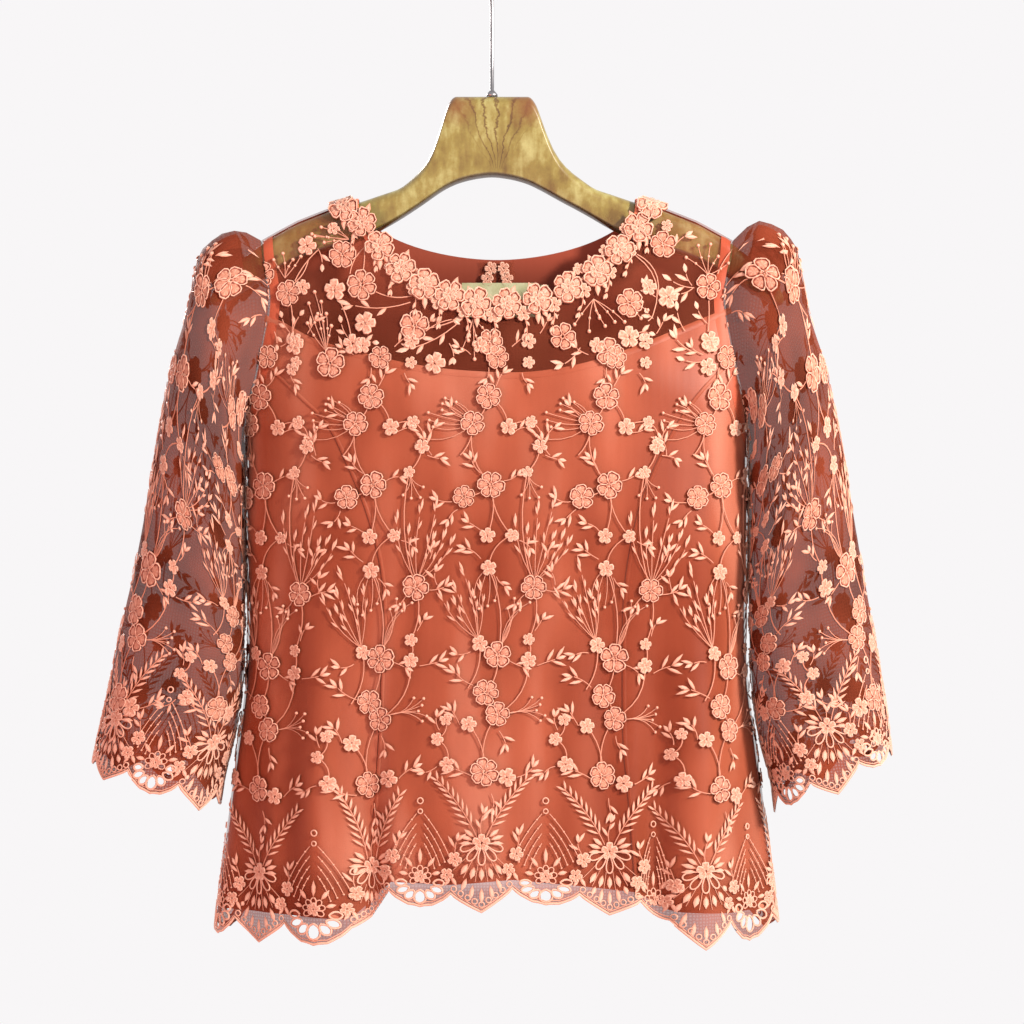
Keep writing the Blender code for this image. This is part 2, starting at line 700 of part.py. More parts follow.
def make_back(body):
    outline, holes, lines, lining_hem = body_side(body)
    cut = np.array([(0, z) for z in np.linspace(-240, -800, 17)])
    lines.append(cut)
    chart, faces = triangulate(lines, body_grid(body, lines))
    middle = chart[faces].mean(axis=1)
    whole = inside(middle, outline)
    uncut = whole & ~np.any([inside(middle, hole) for hole in holes], axis=0)
    lined = whole & (middle[:, 1] > np.interp(middle[:, 0], lining_hem[:, 0], lining_hem[:, 1]))
    for name, half in (("left", middle[:, 0] < 0), ("right", middle[:, 0] > 0)):
        wall(f"lace_back_{name}", chart, faces[uncut & half], body, *LACE, "lace")
        wall(f"lining_back_{name}", chart, faces[lined & half], body, *LINING, "lining", 0.45)


def rectangle(middle, size, steps):
    """An outline of a small sewn-on piece, with its sides in steps, and a few points within it."""
    half_w, half_h = size[0] / 2, size[1] / 2
    across = np.linspace(-half_w, half_w, steps + 1)
    ring = [(x, -half_h) for x in across] + [(x, half_h) for x in across[::-1]]
    return np.array(ring) + middle


def patch(name, outline, surface, layer, look, loose=()):
    """A small piece on the surface, cut to an outline."""
    chart, faces = triangulate([closed(outline)], loose)
    within = inside(chart[faces].mean(axis=1), outline)
    return wall(name, chart, faces[within], surface, *layer, look)


def make_back_neck(back):
    """The lace turned in at each side of the centre back seam, the label across it and the tag beside that."""
    neck = float(neck_edge(back)[:, 1].min())
    for name, sign in (("left", -1), ("right", 1)):
        wavy = [(FACING_WIDTH - FACING_WAVE * (step % 2), z)
                for step, z in enumerate(np.linspace(neck - NECK_INSET, FACING_END, 6))]
        outline = np.array([(FACING_INSET, FACING_END), *wavy[::-1], (FACING_INSET, neck - NECK_INSET)])
        patch(f"back_facing_{name}", outline * (sign, 1), back, FACING, "lace")
    for name, middle, size, layer in (
        ("label", LABEL_MIDDLE, LABEL_SIZE, LABEL),
        ("size_tag", TAG_MIDDLE, TAG_SIZE, TAG),
    ):
        centre = back.chart(*middle)[0]
        patch(name, rectangle(centre, size, 6 if name == "label" else 2), back, layer, name.split("_")[-1])


def make_neck_trim(front):
    """The row of flowers sewn along the front neckline, joined by their cord into one piece."""
    centres = front.chart(NECK_FLOWERS["x"], NECK_FLOWERS["z"])
    outlines, loose = [], []
    for index, centre in enumerate(centres):
        turn = math.radians(FLOWER_TURN * index)
        ring = []
        for petal in range(FLOWER_PETALS):
            start = turn + petal * math.tau / FLOWER_PETALS
            step = math.tau / FLOWER_PETALS
            for share, radius in ((0, FLOWER_NOTCH), (0.3, FLOWER_RADIUS), (0.7, FLOWER_RADIUS)):
                angle = start + share * step
                ring.append(centre + radius * np.array([math.cos(angle), math.sin(angle)]))
            angle = start + step / 2
            loose.append(centre + FLOWER_INNER * np.array([math.cos(angle), math.sin(angle)]))
        outlines.append(np.array(ring))
        loose.append(centre)
    across = np.gradient(centres, axis=0)
    beside = np.stack([-across[:, 1], across[:, 0]], axis=1)
    beside *= TRIM_BAND / np.linalg.norm(beside, axis=1, keepdims=True)
    outlines.append(np.vstack([centres + beside, (centres - beside)[::-1]]))
    chart, faces = triangulate([closed(outline) for outline in outlines], loose, WELD / 10)
    middle = chart[faces].mean(axis=1)
    covered = np.any([inside(middle, outline) for outline in outlines], axis=0)
    away = np.linalg.norm(chart[:, None] - centres[None], axis=2).min(axis=1)
    height = TRIM_EDGE + TRIM_CROWN * np.clip(1 - (away / FLOWER_RADIUS) ** 2, 0, 1)
    wall("neck_trim", chart, faces[covered], front, TRIM_INNER, height, "trim")


def along_line(line, count):
    """Points spaced evenly along a line of places."""
    run = np.concatenate([[0], np.cumsum(np.linalg.norm(np.diff(line, axis=0), axis=1))])
    wanted = np.linspace(0, run[-1], count)
    return np.stack([np.interp(wanted, run, line[:, axis]) for axis in range(3)], axis=1)


def armhole_loop(front, back, sign):
    """The armhole's places, from the shoulder down the front and up the back, moved out to the sleeve."""
    halves = []
    for body, chart_sign in ((front, sign), (back, -sign)):
        edge = armhole_edge(body, chart_sign)
        fine = np.stack([np.interp(np.linspace(0, len(edge) - 1, 90), range(len(edge)), edge[:, axis])
                         for axis in range(2)], axis=1)
        places, normals = body.at(fine)
        outward = SEAM_STEP_OUT[0] + SEAM_STEP_OUT[1] * np.clip(sign * normals[:, 0], 0, 1) ** 2
        places[:, 0] += sign * outward
        halves.append(along_line(places, SLEEVE_COLUMNS // 2 + 1))
    return np.vstack([halves[0][:-1], halves[1][::-1][:-1]])


def sleeve_ring(side, v):
    """A ring of the sleeve, evenly spaced from its outer end round the front."""
    outer_x, outer_z, inner_x, inner_z, deep = (
        float(cubic(v, SLEEVE["v"], SLEEVE[name]))
        for name in (f"{side}_x", f"{side}_z", "inner_x", "inner_z", "half_depth")
    )
    outer, inner = np.array([outer_x, 0, outer_z]), np.array([inner_x, 0, inner_z])
    turn = np.linspace(0, math.tau, 361)
    power = 2 / np.where(np.cos(turn) > 0, SLEEVE_POWER, SLEEVE_INNER_POWER)
    along = signed_power(np.cos(turn), power)[:, None]
    deep = -deep * signed_power(np.sin(turn), power)
    ring = (outer + inner) / 2 + along * (outer - inner) / 2
    ring[:, 1] += deep
    return along_line(ring, SLEEVE_COLUMNS + 1)[:-1]


def make_sleeve_surface(front, back, side, sign):
    """A sleeve's surface. Its chart runs across from the outer line round the front, and down from the armhole."""
    down = np.arange(0, SLEEVE_END, SLEEVE_ROW)
    across = np.arange(SLEEVE_COLUMNS) * SLEEVE_ROUND / SLEEVE_COLUMNS
    rings = np.stack([sleeve_ring(side, v) for v in down])
    rings[:, :, 0] *= sign
    start = armhole_loop(front, back, sign) - rings[0]
    rings += start[None] * (1 - ease(down / ARMHOLE_FADE))[:, None, None]
    surface = Surface(across, -down, rings, wrap=SLEEVE_ROUND)
    if sign > 0:
        surface.normals *= -1
    from_top = (across + SLEEVE_ROUND / 2) % SLEEVE_ROUND - SLEEVE_ROUND / 2
    window = np.cos(np.clip(from_top / GATHER_SPREAD, -1, 1) * math.pi / 2) ** 2
    waves = GATHER_DEPTH * np.cos(across * math.tau / GATHER_PITCH) * window
    fade = np.sin(np.clip(down / GATHER_REACH, 0, 1) * math.pi)
    gathered = rings + surface.normals * (fade[:, None] * waves[None, :])[:, :, None]
    final = Surface(across, -down, gathered, wrap=SLEEVE_ROUND)
    if sign > 0:
        final.normals *= -1
    return final


def make_sleeve(side, surface):
    """A sleeve's front and back half, parted at two cusps of its hem."""
    plan = SLEEVE_HEMS[side]

    def outward(a):
        return math.cos(a * math.tau / SLEEVE_ROUND)

    def cusp_at(a):
        return -plan["down"] + plan["tilt"] * outward(a)

    kinds = ("fan", "spray") if side == "left" else ("spray", "fan")
    for half, start in (("front", SLEEVE_SCALLOP / 2), ("back", SLEEVE_SCALLOP / 2 + SLEEVE_ROUND / 2)):
        end = start + SLEEVE_ROUND / 2
        cusps = np.linspace(start, end, 5)
        scallops = [(kinds[step % 2], a, b, plan[kinds[step % 2]] * (1 - OUTER_DROP * max(0, outward((a + b) / 2))))
                    for step, (a, b) in enumerate(zip(cusps[:-1], cusps[1:]))]
        holes, hem = petal_holes(scallops, cusp_at), hem_points(scallops, cusp_at)
        top = np.array([(a, 0) for a in np.arange(start, end + 1, GATHER_PITCH / 2)])
        top[-1, 0] = end
        edges = [np.array([(a, v) for v in np.linspace(0, cusp_at(a), 14)]) for a in (start, end)]
        lines = [top, hem, *edges, *(closed(hole) for hole in holes)]
        loose = [(a, -down) for down, pitch, first in zip(*SLEEVE_GRID.values())
                 for a in np.arange(start + first, end, pitch)]
        chart, faces = triangulate(lines, spread_points(loose, lines, SLEEVE_CLEAR))
        middle = chart[faces].mean(axis=1)
        outline = np.vstack([top, edges[1][1:-1], hem[::-1], edges[0][1:-1][::-1]])
        kept = inside(middle, outline) & ~np.any([inside(middle, hole) for hole in holes], axis=0)
        wall(f"sleeve_{side}_{half}", chart, faces[kept], surface, *LACE, "sleeve")


def make_sleeve_head(side, surface):
    """The gathered strip that holds up the sleeve's cap from inside."""
    across = np.linspace(-HEAD_SPREAD, HEAD_SPREAD, HEAD_COLUMNS)
    chart, faces, inner, outer = [], [], [], []
    for down, spread, below, pleat in zip(*HEAD_ROWS.values()):
        for column, a in enumerate(across):
            depth = below + pleat * (column % 2)
            chart.append((a * spread, -down))
            outer.append(-depth)
            inner.append(-depth - HEAD_THICK)
    wide = HEAD_COLUMNS
    for row in range(len(HEAD_ROWS["down"]) - 1):
        for column in range(wide - 1):
            a = row * wide + column
            faces += [(a, a + wide, a + 1), (a + 1, a + wide, a + wide + 1)]
    wall(f"sleeve_head_{side}", np.array(chart), np.array(faces), surface,
         np.array(inner), np.array(outer), "head", 0.4)


def tube_faces(sections, around):
    """The faces round a row of sections, closed at both ends."""
    faces = []
    for section in range(sections - 1):
        for i in range(around):
            a, b = section * around + i, section * around + (i + 1) % around
            faces.append((a, b, b + around, a + around))
    return [*faces, tuple(range(around))[::-1], tuple(range((sections - 1) * around, sections * around))]


def make_hanger():
    """The wooden hanger: upright sections from tip to tip, round on top and softly round below."""
    stations = [-x for x in HANGER_STATIONS[:0:-1]] + list(HANGER_STATIONS)
    points = []
    for x in stations:
        away = abs(x)
        top = np.interp(away, HANGER_TOP["x"], HANGER_TOP["z"])
        bottom = cubic(away, HANGER_BOTTOM["x"], HANGER_BOTTOM["z"])
        tip = math.sqrt(max(1 - max(0, (away - TIP_START) / (ARM_TIP + 0.5 - TIP_START)) ** 2, 0.04))
        middle, half = (top + bottom) / 2, (top - bottom) / 2 * tip
        thick = ARM_RADIUS * tip
        shift = BLOCK_SHIFT * (1 - ease((away - BLOCK_HALF) / BLOCK_FADE))
        for turn in HANGER_TURNS:
            angle = math.radians(turn)
            if turn <= 180:
                z = middle + half - min(thick, half) * (1 - math.sin(angle))
            else:
                z = middle - half + UNDERSIDE * thick * (1 + math.sin(angle))
            points.append((x + shift, thick * math.cos(angle), z))
    add_mesh("hanger", np.array(points), tube_faces(len(stations), len(HANGER_TURNS)), "hanger", 0.25)


def make_hook():
    """The steel hook: a straight shank with a small collar on the block, and a round hook above."""
    radius = HOOK_INNER + HOOK_WIRE
    route = list(zip(*SHANK.values()))
    tip = (HOOK_TIP_TURN, HOOK_WIRE * HOOK_TIP_SHARE)
    for angle, thick in (*((angle, HOOK_WIRE) for angle in np.linspace(*HOOK_TURN, HOOK_STEPS)), tip):
        turn = math.radians(angle)
        route.append((radius * math.cos(turn), radius * math.sin(turn) - HOOK_INNER, thick))
    route = np.array(route)
    heading = np.gradient(route[:, :2], axis=0)
    heading /= np.linalg.norm(heading, axis=1, keepdims=True)
    points = []
    for (x, z, thick), (head_x, head_z) in zip(route, heading):
        for side in range(HOOK_SIDES):
            angle = side * math.tau / HOOK_SIDES
            beside, deep = thick * math.cos(angle), thick * math.sin(angle)
            points.append((x + head_z * beside, deep, z - head_x * beside))
    add_mesh("hanger_hook", np.array(points), tube_faces(len(route), HOOK_SIDES), "steel", 0.35, 1.0)


def main():
    clear_scene()
    rings = body_rings()
    front, back = BodySide(rings, True), BodySide(rings, False)
    make_front(front)
    make_back(back)
    make_back_neck(back)
    make_neck_trim(front)
    for side, sign in (("left", 1), ("right", -1)):
        surface = make_sleeve_surface(front, back, side, sign)
        make_sleeve(side, surface)
        make_sleeve_head(side, surface)
    make_hanger()
    make_hook()


main()
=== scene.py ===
"""Looks of a coral lace blouse on its wooden hanger: sheer embroidered net over a satin lining.

Every cloth piece is cut in a flat chart, in millimetres, and laid on the surface that its CAD node lies on.
The embroidery is drawn in the same charts with petals, leaves, stems, beads and rings, and laid on the net.
"""

import math
import random

import bpy
import numpy as np
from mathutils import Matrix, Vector
from mathutils.geometry import delaunay_2d_cdt


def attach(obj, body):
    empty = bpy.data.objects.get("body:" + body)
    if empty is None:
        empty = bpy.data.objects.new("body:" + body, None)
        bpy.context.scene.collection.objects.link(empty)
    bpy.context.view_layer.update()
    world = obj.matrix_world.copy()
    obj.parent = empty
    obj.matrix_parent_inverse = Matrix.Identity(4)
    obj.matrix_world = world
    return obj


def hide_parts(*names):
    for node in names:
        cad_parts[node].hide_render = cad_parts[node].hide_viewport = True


MM = 0.001
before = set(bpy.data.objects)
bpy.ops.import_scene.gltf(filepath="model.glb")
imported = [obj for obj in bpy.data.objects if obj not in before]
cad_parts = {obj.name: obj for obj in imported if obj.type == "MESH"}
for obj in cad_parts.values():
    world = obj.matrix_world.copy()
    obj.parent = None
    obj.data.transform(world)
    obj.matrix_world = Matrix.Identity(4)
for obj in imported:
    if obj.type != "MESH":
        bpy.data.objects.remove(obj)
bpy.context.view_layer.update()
chance = random.Random(12)


def table(columns, *rows):
    """A table's columns by name."""
    return dict(zip(columns.split(), np.array(rows, float).T))


def rows(columns):
    """A table's rows."""
    return zip(*columns.values())


# The blouse's shape, as its solids have it

ROW_STEP, COLUMN_STEP = 2.0, 3.0
TOP_ROW, BOTTOM_ROW = -190.0, -832.0
RING_POWER, RING_SAMPLES = 2.4, 241
OVER_SIDE = 60.0
ARM_RADIUS = 9.0
ARM_START, ARM_TIP, TIP_START = 100.0, 229.0, 216.0
CLOTH_OVER_ARM = 2.3
SHOULDER_FADE = 150.0
ARMHOLE_SLANT = 0.1
UNDERARM = -410.0
NECK_HALF, NECK_POWER = 112.0, 1.85
FRONT_NECK_DROP, BACK_NECK_DROP = 86.0, 46.0
SHOULDER_OUT = 188.0
SHOULDER_ROWS = (0, 4.3, 8.6, 12.9)
LINING_LIFT = 7.0
SLEEVE_ROUND = 336.0
SLEEVE_SCALLOP = SLEEVE_ROUND / 8
SLEEVE_POWER, SLEEVE_INNER_POWER = 2.25, 3.2
SLEEVE_COLUMNS, SLEEVE_ROW, SLEEVE_END = 168, 3.0, 408.0
ARMHOLE_FADE = 95.0
SEAM_STEP_OUT = (0.7, 2.4)
GATHER_PITCH, GATHER_DEPTH, GATHER_REACH, GATHER_SPREAD = 22.0, 1.9, 48.0, 105.0
SCALLOP_WIDTH = 47.0
BACK_SCALLOPS = 10
FAN_CENTRE_LIFT = 9.0
FULL_FAN_DROP, FAN_SMALLEST, LEAST_CUT_DROP = 15.0, 6.0, 8.0

BODY = table(
    "z half_width front_depth back_depth",
    (-840, 228, 75, 66), (-790, 223.5, 73, 64), (-734, 217, 68, 60), (-646, 206, 60, 52),
    (-600, 200.2, 56, 47), (-560, 198.3, 54, 44), (-470, 200, 62, 47), (-410, 199.5, 58, 46),
    (-360, 207, 54, 43), (-300, 214, 48, 39), (-220, 212, 38, 32), (-180, 212, 34, 30),
)
HANGER_TOP = table(
    "x z",
    (0, -132), (33, -132), (38.6, -147), (44, -165), (51, -181), (60, -192), (77, -205.6),
    (93.6, -211), (108, -216), (128, -221.5), (161, -234.5), (188, -249.5), (214, -270), (229, -285),
)
HANGER_BOTTOM = table(
    "x z",
    (0, -194.4), (31, -202.5), (60, -219.5), (94, -239.5), (170, -268), (214, -295), (229, -304),
)
BLOCK_SHIFT, BLOCK_HALF, BLOCK_FADE = -4.0, 33.0, 45.0
ARMHOLE = table(
    "x z",
    (186, -262), (183, -277), (181, -292), (181.5, -308), (184.5, -326),
    (187.5, -343), (191, -360), (195.5, -380), (198.5, -399),
)
PRINCESS = table(
    "z right left",
    (-343, -187.5, 187.5), (-370, -158, 160), (-394, -133, 143), (-426, -116, 126), (-456, -103, 114),
    (-502, -90, 104), (-595, -89, 100), (-653, -92, 101), (-686, -94.5, 104), (-820, -104, 114),
)
LINING_TOP = table(
    "x z",
    (-186, -307), (-176, -310.5), (-148, -325.5), (-107, -338.5), (-62, -349), (-18, -354),
    (32, -354), (70, -347), (106, -335), (139, -321), (176, -305), (188, -300),
)
FRONT_HEM = table(
    "s z drop",
    (-252, -786, 0), (-214, -783, 13), (-166, -784, 17), (-113, -786, 14), (-83, -757, 6), (-35, -759, 11),
    (12, -755, 16), (64, -760, 10), (112, -766, 13), (136.5, -781, 3), (184, -784, 21), (229, -783, 17),
    (252, -786, 6),
)
BACK_HEM = table("s z drop", (0, -745, 19), (100, -752, 19), (160, -768, 19), (252, -786, 19))
SLEEVE_HEMS = {
    "right": {"down": 372.0, "tilt": 12.0, "spray": 17.0, "fan": 12.5},
    "left": {"down": 368.0, "tilt": 18.0, "spray": 17.0, "fan": 12.5},
}
OUTER_DROP = 0.3
FRONT_FOLDS = table(
    "s half_width depth start full",
    (-200, 26, -6, -520, -740), (-136, 34, 10, -420, -680), (-98, 21, -10, -500, -770),
    (-13, 46, 5, -520, -740), (88, 28, -5, -400, -600), (124, 21, -12, -480, -770), (160, 32, 10, -430, -680),
    (208, 24, -6, -520, -740),
)
BACK_FOLDS = table(
    "s half_width depth start full",
    (-150, 34, 8, -430, -660), (-96, 30, -7, -450, -680), (-34, 40, 5, -520, -740),
    (30, 32, -5, -540, -740), (88, 36, 8, -440, -660), (146, 32, -8, -460, -680), (196, 28, 5, -520, -740),
)
SLEEVE = table(
    "v right_x right_z left_x left_z inner_x inner_z half_depth",
    (0, 188.5, -247, 188.5, -247, 202.3, -410, 24),
    (11, 206, -240, 206, -233, 203, -412.5, 31),
    (22, 223, -246, 223.5, -238, 203, -416, 37),
    (33, 235.5, -258.5, 236, -251, 203.1, -421, 42),
    (48, 241, -278, 242, -274, 203.1, -428, 45),
    (70, 247, -306, 248, -305, 203.2, -440, 47),
    (97, 257, -341, 259, -341, 203.2, -458, 48),
    (130, 265, -382, 268, -382, 203.3, -482, 49),
    (174, 274.5, -438, 278, -438, 203.3, -514, 50),
    (229, 287.5, -508, 290, -508, 203.7, -553, 50),
    (270, 299, -559, 299, -559, 204.8, -584, 50),
    (305, 307, -600, 305.5, -600, 207, -612, 50),
    (335, 314.5, -633, 310.5, -633, 211, -638, 50),
    (376, 322, -673, 314, -673, 221, -678, 50),
    (410, 327, -706, 316, -706, 226, -711, 50),
)
FAN_PETALS = table(
    "angle near far half_width",
    (-92, 10, 18.5, 2.1), (-65, 9, 19, 2.3), (-36, 8, 18, 2.5), (0, 6, 19, 3.4),
    (36, 8, 18, 2.5), (65, 9, 19, 2.3), (92, 10, 18.5, 2.1),
)
NECK_FLOWERS = table(
    "x z",
    (-122, -222), (-107, -234), (-93, -254), (-76, -272), (-57, -286), (-37, -295), (-16, -301),
    (8, -302), (32, -298), (56, -288), (79, -275), (97, -257), (112, -238), (123, -221),
)
SLEEVE_FOLDS = ((0.96, 56, 0.8), (0.72, 84, -0.5))  # height, width and shift of each wave of soft folds
HANGER_STATIONS = np.concatenate([np.linspace(0, 24, 9), np.linspace(26, 44, 16), np.linspace(48, 214, 38),
                                  np.linspace(217, 229, 8)])
HANGER_TURNS = (*np.linspace(0, 180, 15), *np.linspace(196, 344, 9))
# the block's upper corners and the arch under it are rounded off over these widths
CORNER_ROUND, ARCH_ROUND = np.linspace(-4, 4, 7), 9.0
SHANK = table(
    "x z radius",
    (-4, -131.7, 4.6), (-4, -130, 4.4), (-4, -127.8, 2.6), (-4, -126.8, 1.6), (-4, -95, 1.6), (-4, -62, 1.6),
    (-4.2, -55, 1.6), (-5.2, -49.5, 1.6), (-7.4, -44, 1.6),
)
HOOK_WIRE, HOOK_INNER, HOOK_SIDES = 1.6, 19.4, 20

# How the cloth is cut and how high each layer lies, in millimetres

CLOTH_PITCH, PATCH_PITCH = 6.5, 2.5
FAR_OUT = 900.0
BACK_CUT, BACK_SEAM_END = (-236, -790), -742  # the back's two halves part here, and its seam ends above the hem
LACE_HEIGHT, LINING_HEIGHT = 0.7, -0.75
STITCH_LIFT = 0.5  # embroidery starts this far above its net
TRIM_LIFT = 2.9
BAND_WIDTH, BAND_HEIGHT = 8.0, -0.6
FACING_WIDTH, FACING_END, FACING_HEIGHT = 15.0, -301.0, -2.3
# piece, its node, its middle, its size, its height and the points along each edge
SMALL_PIECES = (
    ("bare_label", "label", (1.0, -291.5), (59.0, 25.0), -3.8, 6),
    ("bare_tag", "size_tag", (36.5, -286.5), (10.0, 12.0), -1.85, 3),
)
HEAD_TOP, HEAD_BOTTOM, HEAD_SPREAD, HEAD_PLEATS = 12.0, 36.0, 56.0, 17
HEAD_ROWS, HEAD_COLUMNS = 12, 121

# Camera and floor, in metres

CAMERA_PLACE = (0.012, -2.0, -0.464)
SENSOR, VIEW_WIDTH = 36.0, 0.819
FLOOR_LEVEL, FLOOR_REACH = -1.7, 3.4

# The embroidery's motifs

# each flower: its petals' rings from the edge in, as share of size, height and painted shade, light on its
# cords;
# the points round a petal; its breadth; its foot's height and painted shade; and how far the knots lie from the
# centre
BIG_FLOWER = (
    ((1, 0.0, -0.1), (0.94, 1.15, 0.85), (0.85, 1.2, 1.0), (0.76, 0.3, -0.1), (0.52, 0.72, 0.62)),
    12, 0.9, (0.55, 0.6), 0.17,
)
SMALL_FLOWER = ((1, 0.0, -0.1), (0.86, 0.95, 0.85), (0.5, 0.55, 0.5)), 8, 0.8, (0.5, 0.5), 0.2
LEAF_FACES = np.array([
    (0, 1, 2), (0, 2, 3), (1, 4, 5), (1, 5, 2), (2, 5, 6), (2, 6, 3), (4, 7, 5), (5, 7, 6),
])
# painted light: the raised middle of a leaf is lighter, its edges darker
LEAF_SHADE = np.array([-0.25, -0.2, 0.22, -0.12, -0.15, 0.25, -0.05, 0.0])
LEAF_RUN = np.array([0, 0.3, 0.32, 0.34, 0.6, 0.62, 0.64, 1])
STITCH_RUN = 1.6  # a leaf's threads slant, so they run this much longer than it

# The scalloped border: headings and reaches of leaves, in degrees and millimetres, and of loops

SPRAY_RISE, SPRAY_RISE_SHARE = 31, 0.4
SPRAY_LOOPS, SPRAY_LEAVES = (-72, -38, 0, 38, 72), ((52, 17), (72, 18), (92, 17))
FAN_LOOPS = (-100, -60, 60, 100, 180, 140, -140)
FAN_LEAVES = ((0, 22), (-38, 19), (38, 19), (-78, 17), (78, 17))
FAN_BUD_LIFT, FAN_APEX = 5.0, 58
EYELET_LIFT = 6.4
RIM_FLOWERS = ((-3, 15, 5.6), (3, 27, 6.2))
CAP_SHEAF, CAP_SHEAF_TIPS = (0, -40), ((-44, -22), (-18, -9), (18, -9), (44, -22))
CAP_SPRIGS = (-110, -75, 75, 110)
NECK_CLEARANCE = 24  # a yoke's flower keeps this far from those of the neckline

# One repeat of the lace, in millimetres from its column's middle. Kinds: 2 large, 1 medium, 0 small flower
REPEAT = 91.6
FIRST_COLUMN = -6.2
CELL_FLOWERS = table(
    "x z kind radius turn",
    (0, -374, 2, 10.5, 12), (-12, -395, 2, 10, 40), (2, -443, 2, 11, 0), (-19, -452, 2, 9.5, 25),
    (35, -522, 2, 10.5, 60), (7, -575, 2, 11.5, 18), (-2, -604, 2, 10.5, 50), (7, -621, 2, 9.5, 8),
    (-3, -665, 2, 11, 33), (14, -670, 1, 7.5, 0), (15.5, -398, 1, 7, 20), (33, -394, 0, 5.4, 0),
    (40, -413, 1, 6.4, 44), (30, -433, 0, 5.2, 10), (-1, -482, 1, 6.6, 5), (18, -482, 0, 5.4, 30),
    (0, -507, 1, 6.8, 15), (-7, -566, 1, 6.6, 0), (31, -563, 0, 5.4, 0), (31, -579, 1, 6.6, 22),
    (-15.5, -628, 1, 6.8, 9), (-32, -658, 1, 6.6, 30), (-40, -639, 0, 5.4, 0), (-33, -624, 0, 5.2, 12),
)
CELL_FRONDS = (
    ((36, -517), ((22, -470), (41, -451), (63, -487))),
    ((-8.5, -562), ((-36, -527), (-22, -508), (-7, -516))),
)
CELL_BERRIES = (
    ((-12, -395), (-29, -374), (-53, -406), 8), ((10, -567), (16, -531), (32, -534), 5),
    ((14, -621), (39, -604), (43, -626), 6), ((30, -433), (44, -448), (24, -456), 4),
    ((0, -507), (-14, -536), (6, -540), 4),
)
CELL_SPRIGS = table(
    "x z heading length",
    (6, -366, 30, 17), (-20, -390, -50, 18), (20, -402, 70, 15), (44, -408, 30, 18), (44, -420, 110, 16),
    (-6, -434, -35, 20), (12, -440, 70, 17), (-28, -456, -80, 18), (-24, -462, -140, 16), (-6, -478, -60, 17),
    (24, -486, 120, 15), (-6, -500, -50, 22), (6, -514, 140, 15), (28, -528, -140, 15), (44, -524, 80, 22),
    (-14, -572, -100, 16), (16, -580, 120, 18), (36, -556, 25, 16), (38, -583, 75, 24), (-12, -598, -60, 26),
    (8, -634, 160, 17), (-22, -628, -30, 20), (-12, -668, -70, 24), (22, -670, 60, 22), (-40, -660, -120, 16),
    (2, -682, 165, 17), (-38, -632, -20, 16), (46, -500, 20, 14), (-44, -420, -20, 20), (-40, -520, -10, 16),
)
CELL_STEMS = (
    ((0, -374), (-12, -395), 0.1), ((-12, -395), (2, -443), -0.14), ((2, -443), (-19, -452), 0.1),
    ((15.5, -398), (33, -394), 0.1), ((33, -394), (40, -413), 0.2), ((40, -413), (30, -433), 0.1),
    ((2, -443), (-1, -482), 0.08), ((18, -482), (0, -507), -0.15), ((2, -443), (18, -482), -0.1),
    ((0, -507), (7, -575), 0.08), ((30, -433), (35, -522), -0.07), ((35, -522), (31, -563), 0.1),
    ((31, -563), (31, -579), 0.1), ((31, -579), (7, -621), 0.15), ((7, -575), (-2, -604), 0.1),
    ((-2, -604), (7, -621), 0.1), ((-33, -624), (-40, -639), 0.2), ((-40, -639), (-32, -658), 0.2),
    ((-15.5, -628), (-3, -665), 0.1), ((7, -621), (-3, -665), -0.12), ((-7, -566), (-16, -600), 0.1),
    ((-12, -395), (-22, -420), 0.1), ((0, -374), (15.5, -398), 0.12),
)
YOKE_FLOWERS = table(
    "x z kind radius turn",
    (7, -344, 2, 9.5, 0), (-7, -335, 1, 6.6, 20), (31, -332, 1, 6.6, 0), (31, -348, 0, 5.2, 0),
    (35, -291, 1, 6.6, 10),
)
FLOWER_RISE, FLOWER_TONE = {2: 1.0, 1: 1.0, 0: 0.85}, {2: -0.12, 1: 0.06, 0: 0.08}
YOKE_SPRIGS = table(
    "x z heading length",
    (-14, -342, -60, 16), (18, -336, 50, 15), (40, -326, 30, 17), (0, -352, 190, 13), (26, -356, 150, 14),
)
SHOULDER_FLOWERS = table(
    "x z kind radius turn",
    (-122.4, -259.9, 2, 11.5, 0), (-165.1, -290.9, 2, 10.5, 20), (-106.3, -285.3, 2, 12.5, 40),
    (-64.2, -318.7, 2, 12, 10), (-129.8, -347.8, 2, 12, 10), (-185.5, -274.8, 2, 10, 0),
    (-4.8, -331.7, 2, 10.5, 0), (-48.2, -348.4, 1, 9, 0), (-128, -289, 1, 9, 20),
    (-103.2, -316.2, 1, 9, 0), (-112.5, -332.9, 1, 8.5, 20), (-158.9, -332.9, 1, 8, 0),
    (-150.8, -252.5, 1, 8.5, 0), (-160.1, -352.1, 0, 5.5, 0), (-117.4, -230.3, 1, 8.5, 10),
    (-129.8, -238.9, 0, 5.5, 0), (132.2, -251.7, 2, 11, 20), (104.4, -300.2, 2, 11.5, 40),
    (167.6, -285.5, 2, 11, 0), (195.3, -316.5, 2, 11, 30), (87, -339.4, 2, 11, 10), (51.6, -327.4, 2, 11, 0),
    (134.9, -294.7, 1, 9, 0), (195.9, -268.6, 1, 8.5, 20), (167.6, -329.6, 1, 8.5, 0),
    (103.3, -327.4, 1, 9, 20), (165.4, -350.3, 1, 7.5, 0), (201.3, -357.9, 1, 8.5, 30),
    (134.9, -236.5, 0, 5.2, 0), (215.5, -281.7, 0, 5.4, 0),
)
